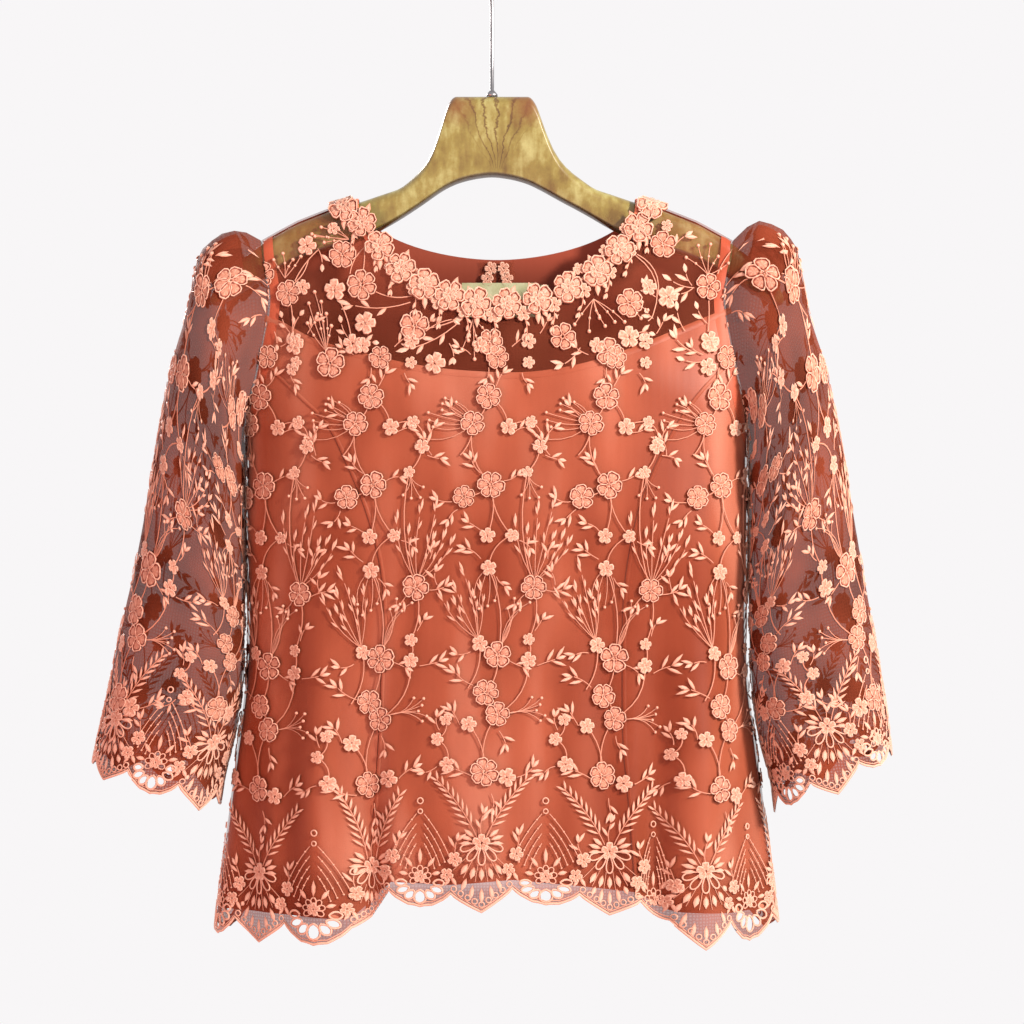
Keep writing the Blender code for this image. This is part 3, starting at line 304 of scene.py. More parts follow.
# cords from one place to another, with their bow
SHOULDER_STEMS = (
    (-104.4, -253.8, -116.2, -276, -0.1), (-105.1, -253.8, -105.7, -273.6, 0.03),
    (-162.6, -300.8, -160.7, -325.5, 0.03), (-122.4, -300.8, -114.3, -325.5, 0.04),
    (-149.6, -263.7, -161.4, -283.5, 0.1), (-142.2, -256.2, -160.1, -281, -0.05),
    (-64.2, -293.4, -95.2, -290.9, 0.1), (-54.3, -320.6, -25.9, -310.7, -0.05),
    (111, -259.9, 127.3, -292.6, 0.18), (109.9, -261, 122.9, -308.9, 0.2),
    (122.9, -308.9, 118.6, -314.3, 0.1), (167.6, -296.9, 166.5, -322, 0.02),
    (195.9, -307.8, 184.4, -270.8, 0.05), (198.1, -306.7, 212.2, -279.5, 0.12),
    (212.2, -279.5, 205.7, -251.2, 0.14), (175.2, -275.1, 188.3, -254.5, 0.05),
)
# leafy branches: from, to, the number of side leaves and their length
SHOULDER_TWIGS = (
    (-25.9, -311.9, -72.9, -337.9, 4, 11), (-67.9, -299.5, -119.9, -299.5, 3, 12),
    (-55.6, -323, -30.8, -313.1, 2, 8), (-162.6, -323, -170, -309.4, 1, 8),
    (-160.7, -323, -154.6, -308.2, 1, 8), (-115, -329.2, -122.4, -314.4, 1, 9),
    (-106.3, -332.9, -96.4, -331.7, 1, 9), (-142.2, -255, -138.5, -268.6, 1, 10),
    (-189.2, -318.1, -196.6, -278.5, 2, 10), (-175.6, -321.8, -173.1, -332.9, 1, 8),
    (-37, -332.9, -33.3, -345.3, 2, 8), (156.1, -286.6, 136.5, -280, 1, 13),
    (155, -287.1, 143.6, -292, 1, 12), (154.5, -284.9, 149.6, -273.5, 1, 12),
    (148, -322, 142, -304, 1, 12), (165.9, -315.4, 158.3, -302.9, 1, 10),
    (156.1, -339.4, 139.3, -326.3, 2, 12), (199.1, -307.8, 214.4, -306.7, 2, 11),
    (65.2, -336.1, 50, -350.3, 2, 11), (109.9, -324.1, 119.7, -324.1, 1, 9),
    (162.1, -345.9, 145.8, -344.8, 1, 11), (125.1, -294.7, 116.4, -283.9, 2, 9),
    (188.3, -277.3, 185, -290.4, 2, 9), (138.2, -257.7, 151.2, -243.6, 2, 10),
    (122.9, -312.2, 118.6, -307.8, 1, 8),
)
# thin beaded stalks: their foot, then each tip
SHOULDER_SPRAYS = (
    ((-133.5, -337.9), (-148.4, -299.5), (-144, -290.3), (-138.5, -298.3), (-149, -315.6), (-134.1, -308.2),
     (-129.8, -318.1), (-140.9, -308.2)),
    ((-117.4, -247.6), (-147.1, -243.2), (-139.7, -237.7), (-144.7, -245.1), (-137.2, -250),
     (-131, -235.2)),
    ((-168.2, -278.5), (-177.4, -263.7), (-170, -258.7), (-162, -263.7), (-155.8, -261.2)),
    ((-18.5, -313.1), (-27.1, -337.9), (-17.2, -345.3), (-22.2, -330.5), (-13.5, -335.4), (-7.3, -325.5)),
    ((76.1, -296.9), (60.9, -317.6), (72.3, -323), (84.8, -318.7), (92.4, -315.4), (100.1, -315.4),
     (80.5, -312.2)),
    ((167.6, -276.2), (150.1, -262.1), (159.9, -252.3), (169.7, -251.2), (175.7, -261), (183.9, -266.4)),
    ((105.5, -301.3), (113.1, -312.2), (118.6, -305.6), (114.2, -299.1)),
)
NECK_LEAVES = ((-28, 15), (24, 16), (178, 19), (-150, 17), (150, 16))
SLEEVE_REPEAT, SLEEVE_COLUMN_START, SLEEVE_RISE = SLEEVE_ROUND / 4, 42.0, 352.0


def cubic(x, xs, ys):
    """The smooth curve through a table's points."""
    if xs[0] > xs[-1]:
        xs, ys = xs[::-1], ys[::-1]
    x = np.clip(x, xs[0], xs[-1])
    slope = np.gradient(ys, xs)
    i = np.clip(np.searchsorted(xs, x) - 1, 0, len(xs) - 2)
    width = xs[i + 1] - xs[i]
    u = (x - xs[i]) / width
    start = (2 * u**3 - 3 * u**2 + 1) * ys[i] + (u**3 - 2 * u**2 + u) * width * slope[i]
    return start + (3 * u**2 - 2 * u**3) * ys[i + 1] + (u**3 - u**2) * width * slope[i + 1]


def ease(u):
    """0 to 1, level at both ends."""
    u = np.clip(u, 0, 1)
    return u * u * (3 - 2 * u)


def signed_power(x, power):
    return np.sign(x) * np.abs(x) ** power


def unit(vectors):
    return vectors / np.maximum(np.linalg.norm(vectors, axis=-1, keepdims=True), 1e-9)


def shoulder_line(x):
    """The height of the shoulder seam, which lies over the hanger's arm."""
    x = np.clip(np.abs(x), ARM_START, ARM_TIP)
    return np.interp(x, HANGER_TOP["x"], HANGER_TOP["z"]) + CLOTH_OVER_ARM


def over_shoulder(x, y, z):
    """A ring's point, drawn in to the arm near the shoulder: round the arm first, then out to the ring."""
    radius = ARM_RADIUS + CLOTH_OVER_ARM
    quarter = radius * math.pi / 2
    down = shoulder_line(x) - z
    turn = np.clip(down, -quarter, quarter) / radius
    spread = ease((down - quarter) / (SHOULDER_FADE - quarter))
    side = np.where(y < 0, -1.0, 1.0)
    round_z = shoulder_line(x) - radius * (1 - np.cos(turn))
    away_y = side * (radius + (np.abs(y) - radius) * spread)
    on_arm = down < quarter
    deep = np.where(on_arm, side * radius * np.sin(turn), away_y)
    return deep, np.where(on_arm, round_z, z + (quarter - radius) * (1 - spread))


class Surface:
    """Places and outward normals over a chart of (across, up), read from an even grid."""

    def __init__(self, across, up, places, wrap=None):
        self.across, self.up, self.places, self.wrap = across, up, places, wrap
        along = np.gradient(places, across, axis=1)
        if wrap:
            along = (np.roll(places, -1, 1) - np.roll(places, 1, 1)) / (2 * (across[1] - across[0]))
        self.normals = unit(np.cross(along, np.gradient(places, up, axis=0)))

    def at(self, points):
        """The place and the normal at each chart point."""
        points = np.asarray(points, float)
        column = (points[:, 0] - self.across[0]) / (self.across[1] - self.across[0])
        row = np.clip((points[:, 1] - self.up[0]) / (self.up[1] - self.up[0]), 0, len(self.up) - 1.001)
        column = column % len(self.across) if self.wrap else np.clip(column, 0, len(self.across) - 1.001)
        j, v = row.astype(int), (row % 1)[:, None]
        i, u = column.astype(int), (column % 1)[:, None]
        beyond = (i + 1) % len(self.across)

        def read(grid):
            low = grid[j, i] * (1 - u) + grid[j, beyond] * u
            high = grid[j + 1, i] * (1 - u) + grid[j + 1, beyond] * u
            return low * (1 - v) + high * v

        return read(self.places), unit(read(self.normals))


def body_rings():
    """Each level's ring from the front's middle to the back's, with the distance along it."""
    up = np.arange(BOTTOM_ROW, TOP_ROW + 1, ROW_STEP)
    turn = np.linspace(0, math.pi, RING_SAMPLES)
    across = np.sin(turn) ** (2 / RING_POWER)
    deep = signed_power(-np.cos(turn), 2 / RING_POWER)
    rings = []
    for z in up:
        half, front, back = (cubic(z, BODY["z"], BODY[name])
                             for name in ("half_width", "front_depth", "back_depth"))
        x, y = half * across, np.where(deep < 0, front, back) * deep
        rings.append((x, y, np.concatenate([[0], np.cumsum(np.hypot(np.diff(x), np.diff(y)))])))
    return up, rings


def fold_depth(folds, s, z):
    """How far the cloth stands out at a chart point, from its table of folds."""
    depth = np.zeros(np.broadcast(s, z).shape)
    for centre, half, deep, start, full in rows(folds):
        near = np.clip((s - centre) / half, -1, 1)
        depth += deep * np.cos(near * math.pi / 2) ** 2 * ease((start - z) / (start - full))
    return depth


class BodySide(Surface):
    """The front or the back of the body. Its chart runs across from the middle, to the right as seen."""

    def __init__(self, rings, front):
        up, levels = rings
        self.front = front
        middle = RING_SAMPLES // 2
        self.reach = np.array([along[middle] if front else along[-1] - along[middle]
                               for *_, along in levels])
        last = math.ceil((self.reach.max() + OVER_SIDE) / COLUMN_STEP)
        across = np.arange(-last, last + 1) * COLUMN_STEP
        x, y = np.empty((len(up), len(across))), np.empty((len(up), len(across)))
        for row, (ring_x, ring_y, along) in enumerate(levels):
            away = np.abs(across) if front else along[-1] - np.abs(across)
            x[row] = np.interp(away, along, ring_x) * np.sign(across)
            y[row] = np.interp(away, along, ring_y)
        self.flat_x = np.abs(x)
        x = x if front else -x
        z = np.broadcast_to(up[:, None], x.shape)
        deep, height = over_shoulder(x, y, z)
        super().__init__(across, up, np.stack([x, deep, height], axis=2))
        folds = FRONT_FOLDS if front else BACK_FOLDS
        stands = fold_depth(folds, across[None, :], z)
        super().__init__(across, up, self.places + self.normals * stands[:, :, None])

    def side(self, z):
        """The distance from the middle to the side seam at a height."""
        return np.interp(z, self.up, self.reach)

    def chart(self, x, z):
        """The chart points of places seen at (x, z)."""
        x, z = np.atleast_1d(np.asarray(x, float)), np.atleast_1d(np.asarray(z, float))
        radius = ARM_RADIUS + CLOTH_OVER_ARM
        quarter = radius * math.pi / 2
        level = z.copy()
        for _ in range(8):
            down = shoulder_line(x) - level
            spread = ease((down - quarter) / (SHOULDER_FADE - quarter))
            near = np.clip(down, 0, quarter)
            shift = near - radius * (1 - np.cos(near / radius))
            level = z - np.where(down < quarter, shift, (quarter - radius) * (1 - spread))
        found = []
        for one_x, one_z in zip(x, level):
            sign = math.copysign(1, one_x) * (1 if self.front else -1)
            found.append((sign * self.away(abs(one_x), one_z), one_z))
        return np.array(found)

    def away(self, x, z):
        """How far across the chart a distance from the middle lies, at a level."""
        row = int(np.clip(round((z - self.up[0]) / ROW_STEP), 0, len(self.up) - 1))
        half = len(self.across) // 2
        limit = int(np.argmax(self.flat_x[row, half:])) + 1
        return np.interp(x, self.flat_x[row, half:half + limit], self.across[half:half + limit])

    def cusp(self, s):
        """The height of the hem's cusps."""
        if self.front:
            return np.interp(s, FRONT_HEM["s"], FRONT_HEM["z"])
        return np.interp(np.abs(s), BACK_HEM["s"], BACK_HEM["z"])

    def seam_point(self, sign, x):
        """A point of the shoulder seam in the chart."""
        level = float(shoulder_line(x))
        return sign * self.away(x, level), level

    def armhole_edge(self, sign):
        """The armhole's edge on one side, from the shoulder down to the side seam."""
        z = np.linspace(ARMHOLE["z"][0], ARMHOLE["z"][-1], 25)
        x = sign * cubic(z, ARMHOLE["z"], ARMHOLE["x"]) * (1 if self.front else -1)
        tip, level = self.seam_point(sign, SHOULDER_OUT)
        over_arm = [(tip - sign * ARMHOLE_SLANT * down, level - down) for down in SHOULDER_ROWS]
        return np.vstack([over_arm, self.chart(x, z), [(sign * self.side(UNDERARM), UNDERARM)]])

    def neck_edge(self):
        """The neckline, from one shoulder to the other."""
        drop = FRONT_NECK_DROP if self.front else BACK_NECK_DROP
        turn = np.radians([2.7, 5.4, *range(8, 173, 4), 174.6, 177.3])
        x = -NECK_HALF * signed_power(np.cos(turn), 2 / NECK_POWER)
        z = float(shoulder_line(NECK_HALF)) - drop * np.sin(turn) ** (2 / NECK_POWER)
        inner = self.chart(x if self.front else -x, z)
        return np.vstack([[self.seam_point(-1, NECK_HALF)], inner, [self.seam_point(1, NECK_HALF)]])

    def scallops(self):
        """Each scallop's kind, its two cusps and its drop, across the whole hem."""
        reach = float(self.side(FRONT_HEM["z"][0]))
        if self.front:
            cusps, drops = (-reach, *FRONT_HEM["s"][1:-1], reach), FRONT_HEM["drop"][1:]
        else:
            cusps = np.linspace(-reach, reach, BACK_SCALLOPS + 1)
            drops = np.interp(np.abs(cusps[:-1]), BACK_HEM["s"], BACK_HEM["drop"])
        kinds = ("fan", "spray") if self.front else ("spray", "fan")
        return [(kinds[step % 2], start, end, drop)
                for step, (start, end, drop) in enumerate(zip(cusps[:-1], cusps[1:], drops))]

    def outline(self):
        """The whole side's outline, as parts: neck, shoulder, armhole, side seam and hem."""
        neck, hem = self.neck_edge(), hem_line(self.scallops(), self.cusp)
        parts = [neck]
        for sign in (1, -1):
            shoulder = np.array([self.seam_point(sign, x) for x in np.linspace(NECK_HALF, SHOULDER_OUT, 9)])
            bottom = hem[-1] if sign > 0 else hem[0]
            heights = np.linspace(UNDERARM, bottom[1], 30)[1:-1]
            seam = np.array([(sign * self.side(z), z) for z in heights])
            edge = np.vstack([shoulder[1:], self.armhole_edge(sign)[1:], seam])
            parts += [edge, hem[::-1]] if sign > 0 else [edge[::-1]]
        return np.vstack(parts)


SPRAY_POINT, FAN_ROUND, FAN_BODY, FAN_LOBE = 0.82, 2.3, 0.91, 0.09
LATTICE_ROWS = 0.87  # the height of an even triangle


def scallop(kind, share, drop):
    """How far a scallop hangs below its cusps at a share of its width, from -1 to 1."""
    away = abs(share)
    if kind == "spray":
        return drop * (1 - away) ** SPRAY_POINT
    lobes = FAN_LOBE * math.cos(share * 2.5 * math.pi) ** 2 * (1 - away)
    return drop * ((1 - away**FAN_ROUND) * FAN_BODY + lobes)


def hem_line(scallops, cusp_at, steps=14):
    """A scalloped edge, from its first cusp to its last."""
    points = []
    for kind, start, end, drop in scallops:
        middle, half = (start + end) / 2, (end - start) / 2
        for share in np.linspace(-1, 1, steps + 1)[:-1]:
            s = middle + share * half
            points.append((s, float(cusp_at(s)) - scallop(kind, share, drop) * (share > -1)))
    return np.array([*points, (end, float(cusp_at(end)))])


def fan_frame(start, end, drop, cusp_at):
    """A fan's centre, and how much its drawing is squeezed across and down."""
    middle = (start + end) / 2
    scale = min(1, (drop + FAN_SMALLEST) / (FULL_FAN_DROP + FAN_SMALLEST))
    centre = np.array([middle, float(cusp_at(middle)) + FAN_CENTRE_LIFT * scale])
    return centre, np.array([(end - start) / SCALLOP_WIDTH, scale])


PETAL_RING = ((0, 0), (0.14, 0.55), (0.36, 1), (0.58, 1.05), (0.76, 0.92), (0.93, 0.5),
              (1, 0), (0.93, -0.5), (0.76, -0.92), (0.58, -1.05), (0.36, -1), (0.14, -0.55))


def fan_petal(angle, near, far, half, grow=1.0):
    """The outline of one petal of a fan, round its centre."""
    turn = math.radians(angle)
    out, beside = np.array([math.sin(turn), -math.cos(turn)]), np.array([math.cos(turn), math.sin(turn)])
    return np.array([(near + share * (far - near)) * out + wide * half * grow * beside
                     for share, wide in PETAL_RING])


def petal_holes(scallops, cusp_at):
    """The outlines of the petals cut out of every fan."""
    holes = []
    for kind, start, end, drop in scallops:
        if kind == "fan" and drop >= LEAST_CUT_DROP:
            centre, squeeze = fan_frame(start, end, drop, cusp_at)
            holes += [centre + squeeze * fan_petal(*petal) for petal in rows(FAN_PETALS)]
    return holes


def closed(line):
    return np.vstack([line, line[:1]])


def inside(points, outline):
    """Which of the points lie within a closed outline."""
    hit = np.zeros(len(points), bool)
    x, y = points[:, 0], points[:, 1]
    for (x0, y0), (x1, y1) in zip(outline, np.roll(outline, -1, axis=0)):
        if y0 != y1:
            hit ^= ((y0 > y) != (y1 > y)) & (x < (x1 - x0) * (y - y0) / (y1 - y0) + x0)
    return hit


def clear_of(candidates, lines, clearance):
    """The points that lie at least this far from every line."""
    keep = np.ones(len(candidates), bool)
    for line in lines:
        for start, end in zip(line[:-1], line[1:]):
            near = np.abs(candidates - (start + end) / 2).max(axis=1) < np.abs(end - start).max() + clearance
            near &= keep
            run = end - start
            share = np.clip(((candidates[near] - start) @ run) / max(run @ run, 1e-9), 0, 1)
            keep[near] = np.linalg.norm(candidates[near] - start - share[:, None] * run, axis=1) >= clearance
    return candidates[keep]


def twice_area(chart, faces):
    """Twice each triangle's area, less than 0 where it turns clockwise."""
    first, second = chart[faces[:, 1]] - chart[faces[:, 0]], chart[faces[:, 2]] - chart[faces[:, 0]]
    return first[:, 0] * second[:, 1] - first[:, 1] * second[:, 0]


def triangulate(lines, loose):
    """Triangles over a chart, with every line kept as edges."""
    points, edges = [], []
    for line in lines:
        first = len(points)
        points += [Vector(point) for point in line]
        edges += [(i, i + 1) for i in range(first, len(points) - 1)]
    points += [Vector(point) for point in loose]
    found, _, faces, *_ = delaunay_2d_cdt(points, edges, [], 0, 0.02)
    chart, faces = np.array([tuple(p) for p in found]), np.array(faces)
    wrong = twice_area(chart, faces) < 0
    faces[wrong] = faces[wrong][:, ::-1]
    return chart, faces


def lattice(low, high, pitch):
    """Even points in staggered rows over a rectangle of a chart."""
    levels = np.arange(low[1], high[1], pitch * LATTICE_ROWS)
    return np.array([(x + pitch / 2 * (row % 2), y) for row, y in enumerate(levels)
                     for x in np.arange(low[0], high[0], pitch)])


# Materials

def linear(colour):
    """An sRGB hex colour in linear light."""
    parts = [int(colour[i:i + 2], 16) / 255 for i in (1, 3, 5)]
    return (*(p / 12.92 if p <= 0.04045 else ((p + 0.055) / 1.055) ** 2.4 for p in parts), 1)


class Finish:
    """A material's node tree, with one call to add a node."""

    def __init__(self, name, **surface):
        self.material = bpy.data.materials.new(name)
        self.material.use_nodes = True
        self.tree = self.material.node_tree
        self.shader = self.tree.nodes["Principled BSDF"]
        self.set(self.shader, **surface)

    def set(self, node, **values):
        """A node's settings, in small letters, and its inputs by name or number, each a value or a link."""
        for key, value in values.items():
            if key[0].islower():
                setattr(node, key, value)
                continue
            socket = node.inputs[int(key[1:]) if key[0] == "_" else key.replace("_", " ")]
            value = value.outputs[0] if isinstance(value, bpy.types.Node) else value
            if isinstance(value, bpy.types.NodeSocket):
                self.tree.links.new(value, socket)
            else:
                socket.default_value = linear(value) if isinstance(value, str) else value

    def add(self, kind, ramp=None, **values):
        """A node with its settings and inputs, and its colour ramp's stops."""
        node = self.tree.nodes.new(f"ShaderNode{kind}")
        if ramp:
            for _ in ramp[2:]:
                node.color_ramp.elements.new(0.5)
            for element, (place, colour) in zip(node.color_ramp.elements, ramp):
                element.position, element.color = place, linear(colour)
        self.set(node, **values)
        return node

    def done(self, **links):
        self.set(self.shader, **links)
        return self.material


WAVE_BANDS = 20  # a wave texture's bands to a unit of its scale


def satin(name, light, mid, deep, wrong, inmost_painted_shade):
    """Woven polyester satin: long floats give its right side a soft gloss. Its wrong side is painted darker, as
    the shade inside the body.
    """
    made = Finish(name, Roughness=0.46, Sheen_Weight=0.08, Sheen_Roughness=0.4, Specular_IOR_Level=0.22)
    cloth = made.add("UVMap", uv_map="cloth")
    # painted light and shade: broad soft streaks run down the cloth, lighter and darker as its folds would be
    # lit
    fold_light_streaks = made.add("Mapping", Vector=cloth, Scale=(1.0, 0.2, 1.0))
    drift = made.add("TexNoise", noise_dimensions="2D", Vector=fold_light_streaks, Scale=12.0, Detail=2.0)
    colour = made.add("ValToRGB", ((0.34, deep), (0.5, mid), (0.66, light)), Fac=drift)
    # painted shade: the wrong side is darkened, least where it is in the open at the back neckline and more
    # below it
    low = made.add("MapRange", _0=made.add("SeparateXYZ", Vector=cloth).outputs[1], _1=-0.262, _2=-0.31)
    inner = made.add("Mix", data_type="RGBA", _0=low, _6=wrong, _7=inmost_painted_shade).outputs[2]
    side = made.add("NewGeometry").outputs["Backfacing"]
    both = made.add("Mix", data_type="RGBA", _0=side, _6=colour, _7=inner).outputs[2]
    # the floats lie 0.25 mm apart in the real satin, and are drawn four times as coarse
    floats = made.add("TexWave", bands_direction="X", Vector=cloth, Scale=1000 / (4 * 0.25 * WAVE_BANDS),
                      Distortion=2.0, Detail=2.0)
    return made.done(Base_Color=both, Normal=made.add("Bump", Strength=0.06, Distance=0.0004, Height=floats))


def net(name, light, deep, cover, hem_cover, hem_from, hem_to):
    """Knitted nylon net: a sheer veil of 0.1 mm threads, shown by their share of cover, denser at its hem."""
    made = Finish(name, Roughness=0.7, Specular_IOR_Level=0.05)
    cloth = made.add("UVMap", uv_map="cloth")
    # its holes are 1 mm wide, under a pixel, and are drawn 2.4 mm wide so that they show
    holes = made.add("TexVoronoi", feature="DISTANCE_TO_EDGE", voronoi_dimensions="2D", Vector=cloth,
                     Scale=1000 / 2.4, Randomness=0.35)
    threads = made.add("MapRange", _0=holes, _1=0.0, _2=0.35, _3=1.14, _4=0.92)
    level = made.add("MapRange", _0=made.add("SeparateXYZ", Vector=cloth).outputs[1], _1=hem_from, _2=hem_to,
                     _3=cover, _4=hem_cover)
    shown = made.add("Math", operation="MULTIPLY", use_clamp=True, _0=threads, _1=level)
    drift = made.add("TexNoise", noise_dimensions="2D", Vector=cloth, Scale=16.0, Detail=2.0)
    return made.done(Base_Color=made.add("ValToRGB", ((0.3, deep), (0.7, light)), Fac=drift), Alpha=shown)


def thread(name, light, mid, deep, roughness=0.42):
    """Rayon machine embroidery: packed lustrous threads, with a painted highlight on their crowns and painted
    shade between them.
    """
    made = Finish(name, Roughness=roughness, Sheen_Weight=0.12, Sheen_Roughness=0.35, Specular_IOR_Level=0.28)
    shade, run = (made.add("Attribute", attribute_name=key).outputs["Fac"] for key in ("shade", "run"))
    # each stitch is 0.35 mm wide in the real lace, and is drawn 0.9 mm wide so that its ridges show
    phase = made.add("Math", operation="MULTIPLY", _0=run, _1=math.tau / 0.9)
    ridge = made.add("Math", operation="SINE", _0=phase)
    height = made.add("MapRange", _0=ridge, _1=-1.0, _2=1.0, _3=0.0, _4=1.0)
    # painted light: the shade attribute and each stitch's ridge lighten the crowns and darken the hollows
    tone = made.add("Math", operation="MULTIPLY_ADD", _0=height, _1=0.16, _2=shade)
    colour = made.add("ValToRGB", ((0.1, deep), (0.5, mid), (0.95, light)), Fac=tone)
    return made.done(Base_Color=colour, Normal=made.add("Bump", Strength=0.5, Distance=0.0003, Height=height))


def lacquered_wood():
    """Beech under a gold lacquer that has crackled: glossy, with veins, brown stains, and painted shade along
    its creases and on its underside.
    """
    made = Finish("lacquered_beech", Coat_Weight=0.4, Coat_Roughness=0.12)
    place = made.add("TexCoord").outputs["Object"]
    cloud = made.add("TexNoise", Vector=place, Scale=26.0, Detail=6.0, Roughness=0.7)
    slanted = made.add("Mapping", Vector=place, Scale=(1.0, 1.0, 0.3), Rotation=(0, 0.5, 0))
    grain = made.add("TexNoise", Vector=slanted, Scale=150.0, Detail=3.0)
    # creases in the lacquer fan out from the foot of the block, drawn as lines of painted shade
    x, _, z = made.add("SeparateXYZ", Vector=place).outputs
    above = made.add("Math", operation="ADD", _0=z, _1=0.197)
    angle = made.add("Math", operation="ARCTAN2", _0=x, _1=above)
    fan = made.add("Math", operation="MULTIPLY", _0=angle, _1=17.0)
    swirl = made.add("Math", operation="MULTIPLY_ADD", _0=cloud, _1=9.0, _2=fan)
    wave = made.add("Math", operation="ABSOLUTE", _0=made.add("Math", operation="SINE", _0=swirl))
    crease_shade = made.add("Math", operation="POWER", _0=wave, _1=30.0)
    aside = made.add("Math", operation="ABSOLUTE", _0=angle)
    near = made.add("MapRange", _0=aside, _1=0.3, _2=0.62, _3=0.3, _4=0.0)
    lines = made.add("Math", operation="MULTIPLY", _0=crease_shade, _1=near)
    stained = made.add("Mix", data_type="FLOAT", _0=0.42, _2=cloud, _3=grain)
    tone = made.add("Math", operation="SUBTRACT", _0=stained, _1=lines)
    colour = made.add("ValToRGB", ((0.1, "#3c2507"), (0.36, "#5f4a1a"), (0.5, "#74652b"), (0.66, "#95905a")),
                      Fac=tone)
    # the block's two upper corners are stained brown
    from_middle = made.add("Math", operation="ABSOLUTE", _0=made.add("Math", operation="ADD", _0=x, _1=0.004))
    folded = made.add("CombineXYZ", X=from_middle, Z=z)
    corner = made.add("VectorMath", operation="DISTANCE", _0=folded, _1=(0.031, 0.0, -0.138)).outputs[1]
    ragged = made.add("Math", operation="MULTIPLY_ADD", _0=cloud, _1=0.04, _2=corner)
    blot = made.add("MapRange", _0=ragged, _1=0.024, _2=0.04, _3=0.75, _4=0.0)
    blotted = made.add("Mix", data_type="RGBA", _0=blot, _6=colour, _7="#63370f").outputs[2]
    # painted shade: the underside, facing down, is darkened
    facing = made.add("SeparateXYZ", Vector=made.add("TexCoord").outputs["Normal"]).outputs[2]
    under = made.add("MapRange", _0=facing, _1=-0.75, _2=-0.35, _3=0.85, _4=0.0)
    dark = made.add("Mix", data_type="RGBA", _0=under, _6=blotted, _7="#241003").outputs[2]
    rough = made.add("MapRange", _0=cloud, _1=0.3, _2=0.7, _3=0.25, _4=0.5)
    bump = made.add("Bump", Strength=0.3, Distance=0.0012, Height=stained)
    return made.done(Base_Color=dark, Roughness=rough, Normal=bump)


def drawn_steel():
    """Zinc-plated drawn steel wire: grey and satin, with fine lines along it."""
    made = Finish("drawn_steel", Metallic=1.0, Roughness=0.38)
    place = made.add("TexCoord").outputs["Object"]
    drift = made.add("TexNoise", Vector=place, Scale=60.0, Detail=4.0)
    colour = made.add("ValToRGB", ((0.3, "#6f6e70"), (0.7, "#9b9a9c")), Fac=drift)
    # drawing lines, 0.5 mm apart round the wire
    lines = made.add("TexWave", bands_direction="X", Vector=place, Scale=100.0, Distortion=1.0)
    return made.done(Base_Color=colour, Normal=made.add("Bump", Strength=0.1, Distance=0.0002, Height=lines))


def woven_tape():
    """Woven polyester label tape, 0.4 mm ribs drawn twice as coarse, pale with a greenish cast."""
    made = Finish("woven_tape", Roughness=0.5, Sheen_Weight=0.2)
    cloth = made.add("UVMap", uv_map="cloth")
    drift = made.add("TexNoise", noise_dimensions="2D", Vector=cloth, Scale=90.0, Detail=3.0)
    colour = made.add("ValToRGB", ((0.3, "#8f9169"), (0.7, "#abab88")), Fac=drift)
    ribs = made.add("TexWave", bands_direction="Y", Vector=cloth, Scale=1000 / (0.8 * WAVE_BANDS))
    return made.done(Base_Color=colour, Normal=made.add("Bump", Strength=0.3, Distance=0.0002, Height=ribs))


def painted_floor():
    """A floor painted in matt off-white."""
    made = Finish("painted_floor", Roughness=0.85, Specular_IOR_Level=0.2)
    drift = made.add("TexNoise", Vector=made.add("TexCoord").outputs["Object"], Scale=3.0, Detail=2.0)
    return made.done(Base_Color=made.add("ValToRGB", ((0.3, "#f0eeef"), (0.7, "#f5f3f4")), Fac=drift))


# each satin: light, mid and deep tones for its painted fold light and shade, then its wrong side's painted
# shade and the deepest painted shade
SATIN = satin("polyester_satin", "#c8836a", "#a2543a", "#82371f", "#7d3826", "#43150c")
SEAM_SATIN = satin("gathered_satin", "#cc6e50", "#b44f33", "#8a2e1a", "#943f28", "#943f28")
BODY_NET = net("nylon_net", "#86412c", "#662817", 0.3, 0.72, -0.738, -0.758)
SLEEVE_NET = net("sleeve_nylon_net", "#72311d", "#4c1d0e", 0.7, 0.86, -0.34, -0.36)
FLOSS = thread("rayon_embroidery", "#cb9f89", "#ae6c53", "#64200f")
# a dark thread for the princess seams' stitching, darkened as painted shade of their dip
SEAM_SHADE_THREAD = thread("seam_shade_thread", "#6f2a16", "#5a1f10", "#40140a", 0.6)
WOOD = lacquered_wood()
STEEL = drawn_steel()
TAPE = woven_tape()


# Meshes

def add_mesh(name, points, faces, finish, slot, nodes=(), chart=None, **attributes):
    """A piece that rides on the blouse, from places in millimetres."""
    mesh = bpy.data.meshes.new(name)
    mesh.from_pydata((np.asarray(points) * MM).tolist(), [], [list(map(int, face)) for face in faces])
    mesh.materials.append(finish)
    mesh.shade_smooth()
    if chart is not None:
        corners = np.zeros(len(mesh.loops), int)
        mesh.loops.foreach_get("vertex_index", corners)
        places = (chart[corners] * MM).astype(np.float32).ravel()
        mesh.uv_layers.new(name="cloth").data.foreach_set("uv", places)
    for key, values in attributes.items():
        mesh.attributes.new(key, "FLOAT", "POINT").data.foreach_set("value", values.astype(np.float32))
    piece = bpy.data.objects.new(name, mesh)
    bpy.context.scene.collection.objects.link(piece)
    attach(piece, "root")
    if nodes:
        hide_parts(*nodes)
    return piece


def laid(name, surface, chart, height, faces, *looks, side=1, **attributes):
    """A piece laid on one side of a surface, from its chart points and their heights."""
    places, normals = surface.at(chart)
    places = places + normals * np.reshape(height, (-1, 1))
    corners = places[faces]
    facing = np.cross(corners[:, 1] - corners[:, 0], corners[:, 2] - corners[:, 0])
    wrong = (facing * side * normals[faces[:, 0]]).sum(axis=1) < 0
    faces = faces.copy()
    faces[wrong] = faces[wrong][:, ::-1]
    return add_mesh(name, places, faces, *looks, chart=chart, **attributes)


